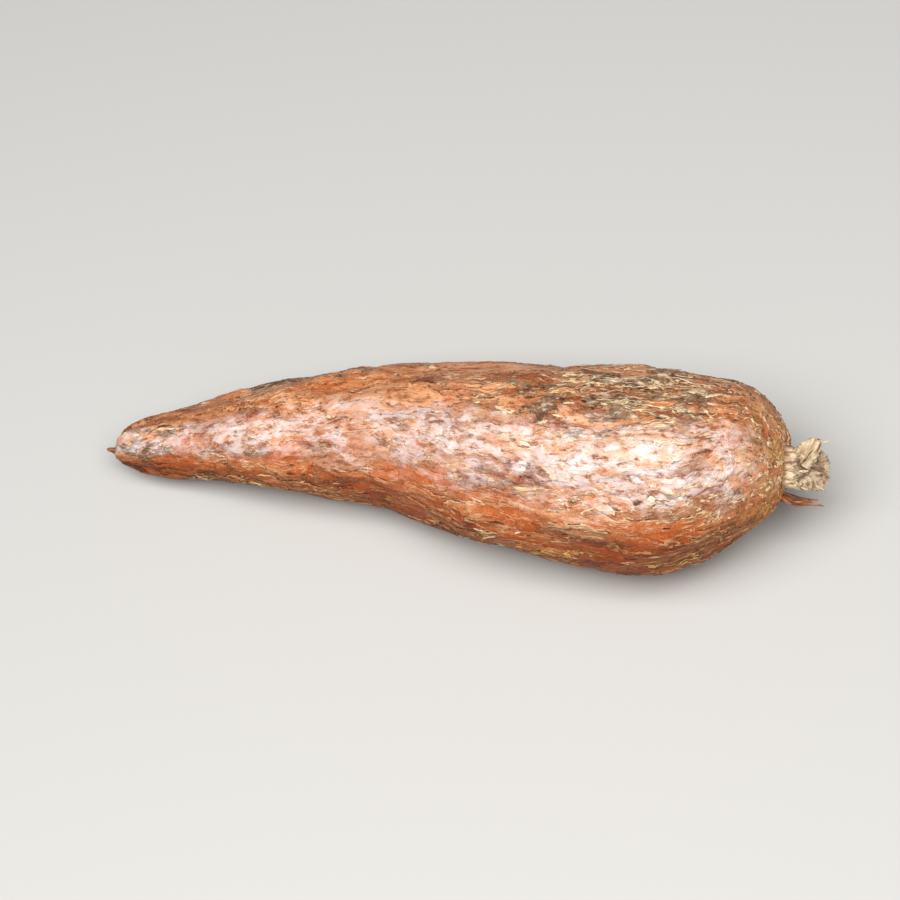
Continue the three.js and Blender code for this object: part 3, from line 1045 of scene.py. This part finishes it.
def worn(tree, found, shown):
    """Each worn layer has a tone of its own, with shade under its edge and fine mottling."""
    for name, strength in LAYER_TONES:
        shown = laid(tree, shown, "pink", found[name], 0.55, 1.0, strength)
        shown = laid(tree, shown, "deep", found[name], 0.45, 0.0, strength)
    shade = maths(tree, "MULTIPLY", found["under_edge"], 0.7)
    shown = mixed(tree, shade, shown, TONES["dark"])
    for tone, name, start, full, strength in MOTTLING:
        shown = laid(tree, shown, tone, found[name], start, full, strength)
    return shown


# %% Rust, a painted shade on the belly, and the shoulder
GRIT = (("deep", 0.42, 0.3, 0.5), ("cream", 0.58, 0.7, 0.35))  # tone, start, full, strength
STREAKS = (("deep", 0.55, 0.7, 0.6), ("pink", 0.45, 0.32, 0.4))


def rubbed_and_shaded_below(tree, found, shown):
    """Rust glows where the skin is rubbed, and a painted shade, which also stands for earth,
    darkens the belly and lower flanks.
    """
    rust = maths(tree, "MULTIPLY", found["rusted"], 0.19)
    glow = maths(tree, "ADD", found["rusty"], rust)
    shown = laid(tree, shown, "ember", glow, 0.58, 0.74, 0.75)
    for tone, start, full, strength in GRIT:
        shown = laid(tree, shown, tone, found["grit"], start, full, strength)
    # Painted shade: the belly and lower flanks are darkened, which also stands for earth.
    darkening = maths(tree, "MULTIPLY", found["low"], 0.9)
    return mixed(tree, darkening, shown, TONES["earth_and_shade"], "MULTIPLY")


def grained(tree, found, shown):
    """Fine grain along the root, and the olive and copper shoulder."""
    for tone, start, full, strength in STREAKS:
        shown = laid(tree, shown, tone, found["streaks"], start, full, strength)
    collar = mixed(tree, fade(tree, found["blush"], 0.44, 0.56), TONES["collar"], TONES["olive"])
    speckled = fade(tree, found["mottle"], 0.42, 0.56, 0.25, 0.75)
    return mixed(tree, product(tree, found["shoulder"], speckled), shown, collar)


# %% Cork, peeling edges, cracks, and milky wax with a painted sheen
def corky(tree, found, shown):
    """Old cork, dark in its grain and flecked with pale dirt."""
    grainy = fade(tree, found["streaks"], 0.42, 0.58)
    cork_tone = mixed(tree, grainy, TONES["cork"], TONES["cork_dark"])
    cork_tone = laid(tree, cork_tone, "lime", found["mottle"], 0.5, 0.58, 0.7)
    return mixed(tree, maths(tree, "MULTIPLY", found["on_cork"], 0.8), shown, cork_tone)


def peeling_edges(tree, place, found):
    """1 on the edges of cork and of both sizes of layer, broken up, and less where rubbed."""
    off_rim = maths(tree, "ABSOLUTE", maths(tree, "SUBTRACT", found["cork"], CORK_LEVEL - 0.01))
    rim = product(
        tree, fade(tree, off_rim, 0.0, 0.012, 1, 0), patch_rule(tree, place, 240, 0.45, 0.9)
    )
    broad, fine = (peel_rule(tree, place, found["edge"]),
                   peel_rule(tree, place, found["fine_edge"], 0.2))
    rubbed = maths(tree, "SUBTRACT", 1.0, maths(tree, "MULTIPLY", found["rusted"], 0.6))
    broken_up = fade(tree, found["flecks"], 0.34, 0.46, 0.35, 1.0)
    return product(tree, greatest(tree, rim, broad, fine), rubbed, broken_up)


def peeled_and_cracked(tree, found, shown):
    """Peeling edges, cream on top and golden below, and dark cracks."""
    edge_tone = mixed(tree, found["low"], TONES["cream"], TONES["gold"])
    shown = mixed(tree, maths(tree, "MULTIPLY", found["peel"], 0.85), shown, edge_tone)
    return mixed(tree, maths(tree, "MULTIPLY", found["crack"], 0.8), shown, TONES["crack"])


def thick_wax_and_sheen(tree, place, found):
    """1 along the band where the light's reflection falls, for the thickest wax and a painted
    sheen, less on the shoulder and where rubbed.
    """
    near = fade(tree, facing(tree, place, WAX_AND_SHEEN_SIDE, found["blush"]), 1.08, 1.27)
    rubbed_off = greatest(tree, found["shoulder"], maths(tree, "MULTIPLY", found["rusted"], 0.4))
    return product(tree, near, maths(tree, "SUBTRACT", 1.0, rubbed_off))


def milky_wax_and_sheen(tree, found, shown):
    """Thick wax looks milky, in smears between the dark pits, and the same pale tone is a painted
    sheen along the band where the light's reflection falls.
    """
    between_pits = fade(tree, found["mottle"], 0.4, 0.53, 0.06, 0.7)
    smeared = fade(tree, found["smears"], 0.42, 0.56, 0.35, 1.15)
    # Painted sheen: the pale tone is laid on the band where the light's reflection falls, as well
    # as being milky wax.
    wax_haze_and_sheen = product(tree, found["waxed"], between_pits, smeared)
    return mixed(tree, wax_haze_and_sheen, shown, TONES["wax_haze_and_sheen"])


# %% [markdown]
# ## Waxed bark
# The material puts the steps together. It has two Bump nodes: a deep one for the skin, and a soft
# one for the coat, because wax fills what is fine and its shine stays smooth. Cork, pits, cracks
# and the belly are dry, so they lose most of their coat and are rougher.

# %% The relief that is too fine for the mesh, and the dry places
FINE_HEIGHTS = {  # pattern, height
    "streaks": 0.9, "on_cork": 0.7, "peel": 0.8, "crack": -1.2, "under_edge": -0.8,
    "mottle": 1.4, "edge": 0.5, "fine_edge": 0.35,
}
SKIN_BUMP, COAT_BUMP = 0.26 * MM, 0.05 * MM
WAX_HEIGHT = 0.3


def fine_height(tree, found):
    """The sum of the fine patterns, each at its height."""
    height = 0.0
    for name, amount in FINE_HEIGHTS.items():
        height = maths(tree, "ADD", height, maths(tree, "MULTIPLY", found[name], amount))
    return height


def wetness(tree, found):
    """How much of the wax's coat shows: all on the band of thick wax, a third elsewhere, none
    where dry.
    """
    pitted = fade(tree, found["mottle"], 0.46, 0.34)
    corky_dry = maths(tree, "MULTIPLY", found["on_cork"], 0.6)
    dry = greatest(tree, corky_dry, found["low"], found["crack"], pitted, found["under_edge"])
    coated = fade(tree, found["waxed"], 0.0, 1.0, 0.35, 1.0)
    return maths(tree, "SUBTRACT", coated, dry, clamp=True)


# %% The waxed bark material
def waxed_bark():
    """The finish of the root's skin."""
    material, tree, shader = new_material(
        "waxed_bark", Specular_IOR_Level=0.25, Coat_Roughness=0.2, Coat_IOR=1.66
    )
    place = add(tree, "ShaderNodeAttribute", attribute_name="bark_place").outputs["Vector"]
    found = bark_patterns(tree, place)
    found["peel"] = peeling_edges(tree, place, found)
    found["waxed"] = thick_wax_and_sheen(tree, place, found)

    shown = worn(tree, found, skin_colour(tree, found))
    shown = rubbed_and_shaded_below(tree, found, shown)
    shown = corky(tree, found, grained(tree, found, shown))
    shown = milky_wax_and_sheen(tree, found, peeled_and_cracked(tree, found, shown))
    tree.links.new(shown, shader.inputs["Base Color"])

    wax = place_wax(tree, place, thickness=0.9, roughness=0.36)
    wet = wetness(tree, found)
    rough = product(tree, wax["Roughness"], fade(tree, wet, 0.0, 0.6, 1.6, 1.0))
    tree.links.new(product(tree, wax["Coat"], wet), shader.inputs["Coat Weight"])
    tree.links.new(rough, shader.inputs["Roughness"])

    height = fine_height(tree, found)
    speckled = maths(tree, "ADD", height, maths(tree, "MULTIPLY", wax["Height"], WAX_HEIGHT))
    for bumps, deep, socket in (
        (height, COAT_BUMP, "Coat Normal"), (speckled, SKIN_BUMP, "Normal"),
    ):
        bump = add(tree, "ShaderNodeBump", {"Height": bumps, "Strength": 1.0, "Distance": deep})
        tree.links.new(bump.outputs[0], shader.inputs[socket])
    return material


bark = waxed_bark()
print("waxed bark nodes:", len(bark.node_tree.nodes))
apply_nodes(
    body, bark_relief_tree(bark),
    lump_height=1.1 * MM, cork_height=0.22 * MM, layer_height=0.3 * MM,
    peel_height=0.2 * MM, crack_depth=0.2 * MM, grain_height=0.5 * MM,
)

# %% [markdown]
# ## Flakes and fibres
# Where the bark peels, small papery flakes curl up and catch the light, and stray fibres lie
# along the root. Modelling hundreds one by one would take days, so a few shapes of each are
# modelled once: a flake is a thin curled sheet with a ragged outline, a fibre a wavy thread whose
# ends are sunk. Each has only a few dozen faces, because it is repeated so often.

# %% A flake
FLAKE_SHAPES, FLAKE_COLUMNS, FLAKE_ROWS = 7, 8, 2
FLAKE_HALF_THICKNESS = 0.1


def flake_outline(row_length, count):
    """The points round the edge of a grid of count rows, in order."""
    rim = [i * row_length for i in range(count)]
    rim += [(count - 1) * row_length + j for j in range(1, row_length)]
    rim += [i * row_length + row_length - 1 for i in reversed(range(count - 1))]
    rim += list(reversed(range(1, row_length - 1)))
    return rim


def flake_shape(seed):
    """A thin curled sheet, about 1 long in X and 1 wide in Y, ragged at its rim."""
    across = np.linspace(-1, 1, FLAKE_ROWS + 1)
    points, faces = [], []
    for lift in (-FLAKE_HALF_THICKNESS, FLAKE_HALF_THICKNESS):
        for i in range(FLAKE_COLUMNS + 1):
            x = i / FLAKE_COLUMNS - 0.5
            full = math.sqrt(max(1.03 - (2 * x) ** 2, 0.0)) * 0.5
            bent = 0.5 * noise.noise(Vector((x * 2.5, seed * 3.7, 1.0)))
            for y in across:
                ragged_edge = 1 + 0.9 * noise.noise(Vector((x * 9, y * 2, seed * 5.1)))
                curl = 0.8 * (y * full) ** 2 + 2.2 * max(x - 0.1, 0) ** 2
                points.append((x, bent + y * full * ragged_edge, curl + lift))
    rows, layer = FLAKE_ROWS + 1, (FLAKE_COLUMNS + 1) * (FLAKE_ROWS + 1)
    for i in range(FLAKE_COLUMNS):
        for j in range(FLAKE_ROWS):
            a = i * rows + j
            faces.append((a, a + 1, a + rows + 1, a + rows))
            faces.append((layer + a, layer + a + rows, layer + a + rows + 1, layer + a + 1))
    rim = flake_outline(rows, FLAKE_COLUMNS + 1)
    for a, b in zip(rim, rim[1:] + rim[:1]):
        faces.append((a, b, layer + b, layer + a))
    return points, faces


print("faces of a flake:", len(flake_shape(0)[1]))

# %% A fibre
FIBRE_SHAPES, FIBRE_STEPS, FIBRE_SIDES = 4, 11, 4
FIBRE_WAVE = 5.0  # how far it wanders sideways, in its own thicknesses
FIBRE_ARCH, FIBRE_SINK = 0.45, 1.6


def fibre_shape(seed):
    """A wavy thread 1 long in X, whose ends dip under Z = 0."""
    share = np.linspace(0, 1, FIBRE_STEPS)
    turn = np.linspace(0, 2 * np.pi, FIBRE_SIDES, endpoint=False)
    thick = 0.5 * np.sqrt(np.clip(1 - (2 * share - 1) ** 4, 0.06, 1))[:, None]
    waved = [FIBRE_WAVE * noise.noise(Vector((x * 2.2, seed * 2.9, 4.0))) for x in share]
    up = FIBRE_ARCH - FIBRE_SINK * (2 * share[:, None] - 1) ** 6
    far = np.repeat(share[:, None] - 0.5, FIBRE_SIDES, 1)
    side = np.array(waved)[:, None] + thick * np.cos(turn)
    skin_of_thread = shell(np.stack([far, side, up + thick * np.sin(turn)], -1))
    return skin_of_thread["points"].tolist(), skin_of_thread["faces"]


print("faces of a fibre:", len(fibre_shape(0)[1]))

# %% [markdown]
# ## Scattering with Geometry Nodes
# A tree scatters the shapes over the body, thickest where the body is flaky, each turned along
# the grain that the body stores, with a size of its own. Particles would do the same, but they
# aren't exported. Each copy also stores a random tone, which its finish reads. Low on the belly
# there are none, as they would be crushed there.

# %% Random values and directions
ASKEW = ((-0.06, -0.1, -0.3), (0.06, 0.12, 0.3))  # least and most turn, in radians


def random_value(tree, kind, low, high, seed):
    """A random number or vector for each point."""
    made = add(tree, "FunctionNodeRandomValue", {"Seed": seed}, data_type=kind)
    first, out = {"FLOAT_VECTOR": (0, 0), "FLOAT": (2, 1)}[kind]
    made.inputs[first].default_value = low
    made.inputs[first + 1].default_value = high
    return made.outputs[out]


def along_the_grain(tree, normal):
    """A turn that stands a shape on the bark along the grain, a little askew."""
    upright = add(
        tree, "FunctionNodeAlignRotationToVector", {"Vector": normal}, axis="Z"
    ).outputs[0]
    grain_stored = add(tree, "GeometryNodeInputNamedAttribute", {"Name": "grain"},
                       data_type="FLOAT_VECTOR").outputs[0]
    values = {"Rotation": upright, "Vector": grain_stored}
    laid_along = add(tree, "FunctionNodeAlignRotationToVector", values, axis="X", pivot_axis="Z")
    askew = random_value(tree, "FLOAT_VECTOR", *ASKEW, seed=3)
    turn = add(tree, "FunctionNodeEulerToRotation", {0: askew}).outputs[0]
    values = {"Rotation": laid_along.outputs[0], "Rotate By": turn}
    return add(tree, "FunctionNodeRotateRotation", values, rotation_space="LOCAL").outputs[0]


# %% The scatter tree
BARE_BELOW, FULL_ABOVE = 3 * MM, 8 * MM  # heights over the floor
SMALL_ONES = 2.2  # the higher, the more of the copies are small


def copies_on(tree, given):
    """The shapes placed on the geometry, still as instances."""
    position = add(tree, "GeometryNodeInputPosition").outputs[0]
    above = add(tree, "ShaderNodeSeparateXYZ", {0: position}).outputs["Z"]
    many = product(tree, given["Density"], stored(tree, "flaky"),
                   fade(tree, above, BARE_BELOW, FULL_ABOVE))
    values = {"Mesh": given["Geometry"], "Density": many, "Seed": given["Seed"]}
    spread = add(tree, "GeometryNodeDistributePointsOnFaces", values).outputs
    small = maths(tree, "POWER", random_value(tree, "FLOAT", 0.0, 1.0, seed=4), SMALL_ONES)
    values = {0: small, 4: given["Smallest"], 5: given["Largest"]}
    size = add(tree, "ShaderNodeMix", values, data_type="VECTOR").outputs[1]
    values = {"Collection": given["Shapes"], "Separate Children": True, "Reset Children": True}
    shapes = add(tree, "GeometryNodeCollectionInfo", values).outputs[0]
    values = {
        "Points": spread["Points"], "Instance": shapes, "Pick Instance": True,
        "Rotation": along_the_grain(tree, spread["Normal"]), "Scale": size,
    }
    return add(tree, "GeometryNodeInstanceOnPoints", values).outputs[0]


def scatter_tree(name, material):
    """The tree that turns a body into the small shapes scattered over it."""
    tree, given, result = new_group(
        "GeometryNodeTree", name,
        {"Geometry": "Geometry", "Shapes": "Collection", "Density": "Float",
         "Smallest": "Vector", "Largest": "Vector", "Seed": "Int"},
        {"Geometry": "Geometry"},
    )
    tone = random_value(tree, "FLOAT", 0.0, 1.0, seed=8)
    toned = keep_on_points(tree, copies_on(tree, given), "tone", tone, "INSTANCE")
    end_tree(tree, toned, material, result)
    return tree


# %% [markdown]
# ## Papery bark
# A loose flake is thin and dry, from red brown to straw, with fine fibres along it. The tone that
# each copy stored picks its colour, so that neighbours differ. The fibres read Object
# coordinates: one direction holds for all of them, as the root is nearly straight.

# %% The papery bark material
def papery_bark():
    """The finish of loose flakes and fibres."""
    material, tree, shader = new_material("papery_bark", Coat_Roughness=0.2)
    place = add(tree, "ShaderNodeTexCoord").outputs["Object"]
    tone = add(tree, "ShaderNodeAttribute", attribute_name="tone").outputs["Fac"]
    fine = noise_value(tree, drawn_out(tree, place, 0.3), 1300, 4, 0.65)
    shown = mixed(tree, fade(tree, tone, 0.1, 0.5), colour("8f4d26"), colour("c4875a"))
    shown = mixed(tree, fade(tree, tone, 0.45, 0.9), shown, colour("e2c9a4"))
    shown = mixed(tree, fade(tree, fine, 0.52, 0.36, 0, 0.75), shown, colour("70401f"))
    wax = place_wax(tree, place, thickness=0.5, roughness=0.5)
    values = {"Height": fine, "Strength": 0.6, "Distance": 0.2 * MM}
    bump = add(tree, "ShaderNodeBump", values)
    tree.links.new(shown, shader.inputs["Base Color"])
    tree.links.new(wax["Roughness"], shader.inputs["Roughness"])
    tree.links.new(wax["Coat"], shader.inputs["Coat Weight"])
    tree.links.new(bump.outputs[0], shader.inputs["Normal"])
    return material


papery = papery_bark()
print("papery bark nodes:", len(papery.node_tree.nodes))

# %% The flakes and the fibres
def shapes_to_scatter(name, maker, count):
    """A collection of small shapes, made with a different seed each."""
    made = bpy.data.collections.new(name)
    for seed in range(count):
        points, faces = maker(seed)
        mesh = bpy.data.meshes.new(f"{name}_{seed}")
        mesh.from_pydata(points, [], faces)
        mesh.shade_smooth()
        made.objects.link(bpy.data.objects.new(mesh.name, mesh))
    return made


def scattered(name, maker, count, **amounts):
    """A new piece: small shapes scattered over the body, as one plain mesh."""
    piece = bpy.data.objects.new(name, body.data.copy())
    scene.collection.objects.link(piece)
    shapes = shapes_to_scatter(name + "_shape", maker, count)
    apply_nodes(piece, scatter_tree(name, papery), shapes=shapes, **amounts)
    for shape in list(shapes.objects):
        bpy.data.objects.remove(shape)
    bpy.data.collections.remove(shapes)
    return piece


flakes = scattered(
    "bark_flakes", flake_shape, FLAKE_SHAPES, density=70000.0, seed=5,
    smallest=(1.2 * MM, 0.25 * MM, 0.25 * MM), largest=(6.5 * MM, 1.1 * MM, 0.6 * MM),
)
fibres = scattered(
    "bark_fibres", fibre_shape, FIBRE_SHAPES, density=45000.0, seed=11,
    smallest=(3.0 * MM, 0.14 * MM, 0.14 * MM), largest=(11.5 * MM, 0.3 * MM, 0.26 * MM),
)

# %% [markdown]
# ## Torn wood and peeled bark
# The neck is dry straw-coloured wood: pale along its fibres, brown in the cracks and in the star
# of its pith, and stained by the bark at its foot. The strips of bark that tore loose show their
# dark red inner side. Both are fibrous in the same way, so the fibres are a shader group that
# both materials place. They follow a place that the rings stored: how far along the root, and
# the two directions across the piece.

# %% The torn fibres group
def torn_fibres_group():
    """Streaks along torn wood or bark, and the broad blotches between them."""
    tree, given, result = new_group(
        "ShaderNodeTree", "torn fibres",
        {"Place": "Vector"}, {"Fibres": "Float", "Blotches": "Float"},
    )
    streaked = drawn_out(tree, wandered(tree, given["Place"], 350, 1.6 * MM), 0.22)
    blotched = drawn_out(tree, given["Place"], 0.6)
    tree.links.new(noise_value(tree, streaked, 900, 6, 0.7), result["Fibres"])
    tree.links.new(noise_value(tree, blotched, 420, 5, 0.65), result["Blotches"])
    return tree


fibres_group = torn_fibres_group()
print("torn fibres nodes:", len(fibres_group.nodes))

# %% The torn wood and peeled bark materials
WOOD_TONES = {"pale": "d8c2a4", "straw": "ab8a64", "brown": "6e4a2c", "crack": "2a180c"}
PEELED_TONES = {"pale": "b06a38", "straw": "7c3817", "brown": "4a1b0b", "crack": "200b05"}
STAIN_TONE = colour("8b5a2a")
STAIN_FULL, STAIN_ENDS = 200.5 * MM, 203.5 * MM  # along the root
STAIN_RAGGED = 6 * MM


def foot_stain(tree, place, blotches):
    """1 at the neck's foot, where bark stained the wood, with a ragged end."""
    uneven = maths(tree, "MULTIPLY", blotches, STAIN_RAGGED)
    far = maths(tree, "SUBTRACT", distance_along(tree, place), uneven)
    return fade(tree, far, STAIN_FULL, STAIN_ENDS, 1, 0)


def fibrous_finish(name, tone_names, stained, thickness, roughness):
    """A finish of torn fibres in four tones, with wax of its own."""
    material, tree, shader = new_material(name, Coat_Roughness=0.3)
    tone = {key: colour(text) for key, text in tone_names.items()}
    place = add(tree, "ShaderNodeAttribute", attribute_name="wood_place").outputs["Vector"]
    star_stored = add(tree, "ShaderNodeAttribute", attribute_name="star").outputs["Fac"]
    grown = add(tree, "ShaderNodeGroup", node_tree=fibres_group)
    tree.links.new(place, grown.inputs["Place"])
    streaks, blotches = grown.outputs["Fibres"], grown.outputs["Blotches"]

    shown = mixed(tree, fade(tree, streaks, 0.38, 0.6), tone["straw"], tone["pale"])
    shown = mixed(tree, fade(tree, blotches, 0.5, 0.62, 0, 0.8), shown, tone["brown"])
    shown = mixed(tree, fade(tree, streaks, 0.44, 0.34, 0, 0.9), shown, tone["crack"])
    shown = mixed(tree, maths(tree, "MULTIPLY", star_stored, 0.75), shown, tone["brown"])
    if stained:
        darkening = maths(tree, "MULTIPLY", foot_stain(tree, place, blotches), 0.8)
        shown = mixed(tree, darkening, shown, STAIN_TONE)

    wax = place_wax(tree, place, thickness, roughness)
    height = maths(tree, "ADD", streaks, maths(tree, "MULTIPLY", star_stored, -0.6))
    bump = add(tree, "ShaderNodeBump", {"Height": height, "Strength": 0.9, "Distance": 0.6 * MM})
    tree.links.new(shown, shader.inputs["Base Color"])
    tree.links.new(wax["Roughness"], shader.inputs["Roughness"])
    tree.links.new(wax["Coat"], shader.inputs["Coat Weight"])
    tree.links.new(bump.outputs[0], shader.inputs["Normal"])
    print(name, "nodes:", len(tree.nodes))
    return material


torn_wood = fibrous_finish("torn_wood", WOOD_TONES, True, thickness=0.17, roughness=0.72)
peeled_bark = fibrous_finish("peeled_bark", PEELED_TONES, False, thickness=0.6, roughness=0.68)
for piece, finish in (
    (neck, torn_wood), (splinters, torn_wood), (tongue, peeled_bark), (tail_stub, peeled_bark),
):
    piece.data.materials.append(finish)

# %% [markdown]
# ## Floor and light
# A pale floor and one broad soft light nearly overhead, a little to the front, as in a bright
# packing room: its reflection makes the long pale band on the wax. Many small lamps would light
# it as well, but would break that band up. A weak light in front and a weak sky fill the shadows.

# %% The floor
FLOOR_HALF = 4.0

floor_mesh = bpy.data.meshes.new("floor")
corners_of_floor = ((-1, -1), (1, -1), (1, 1), (-1, 1))
floor_points = [(x * FLOOR_HALF, y * FLOOR_HALF, 0) for x, y in corners_of_floor]
floor_mesh.from_pydata(floor_points, [], [(0, 1, 2, 3)])
floor = bpy.data.objects.new("floor", floor_mesh)
scene.collection.objects.link(floor)
floor_finish, _, floor_shader = new_material("pale_floor", Roughness=0.6)
floor_shader.inputs["Base Color"].default_value = colour("b9b7b3")
floor_mesh.materials.append(floor_finish)
print("floor, m:", 2 * FLOOR_HALF, "square")

# %% The lights
def area_light(name, place, size, power, tint):
    """A rectangular lamp that faces the origin, with its power in watts."""
    light = bpy.data.lights.new(name, "AREA")
    light.shape = "RECTANGLE"
    light.size, light.size_y = size
    light.energy = power
    light.color = colour(tint)[:3]
    lamp = bpy.data.objects.new(name, light)
    lamp.location = place
    lamp.rotation_euler = (-Vector(place)).to_track_quat("-Z", "Y").to_euler()
    scene.collection.objects.link(lamp)


area_light("overhead", (0.05, -0.34, 0.97), (1.4, 0.68), 21.4, "ffffff")
area_light("front", (0.3, -1.3, 0.7), (1.2, 0.8), 0.6, "fff4e8")

world = bpy.data.worlds.new("sky")
world.use_nodes = True
sky = world.node_tree.nodes["Background"]
sky.inputs["Color"].default_value = colour("eef1f6")
sky.inputs["Strength"].default_value = 0.2
scene.world = world
scene.view_settings.view_transform = "Standard"
print("lights, W:", [light.energy for light in bpy.data.lights])

# %% [markdown]
# ## Fixing everything to the model
# Each piece rides on the one body of the root. Parenting would do for a picture, but this also
# keeps the pieces with the body in every pose. The dressed body stands for the plain solid, which
# then isn't shown.

# %% Fixing the pieces
PIECES = {
    body: "bark", neck: "torn_wood", splinters: "torn_wood", tongue: "bark", tail_stub: "bark",
    flakes: "bark", fibres: "bark",
}
for piece, slot in PIECES.items():
    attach(piece, "root")
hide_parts("cassava_root")
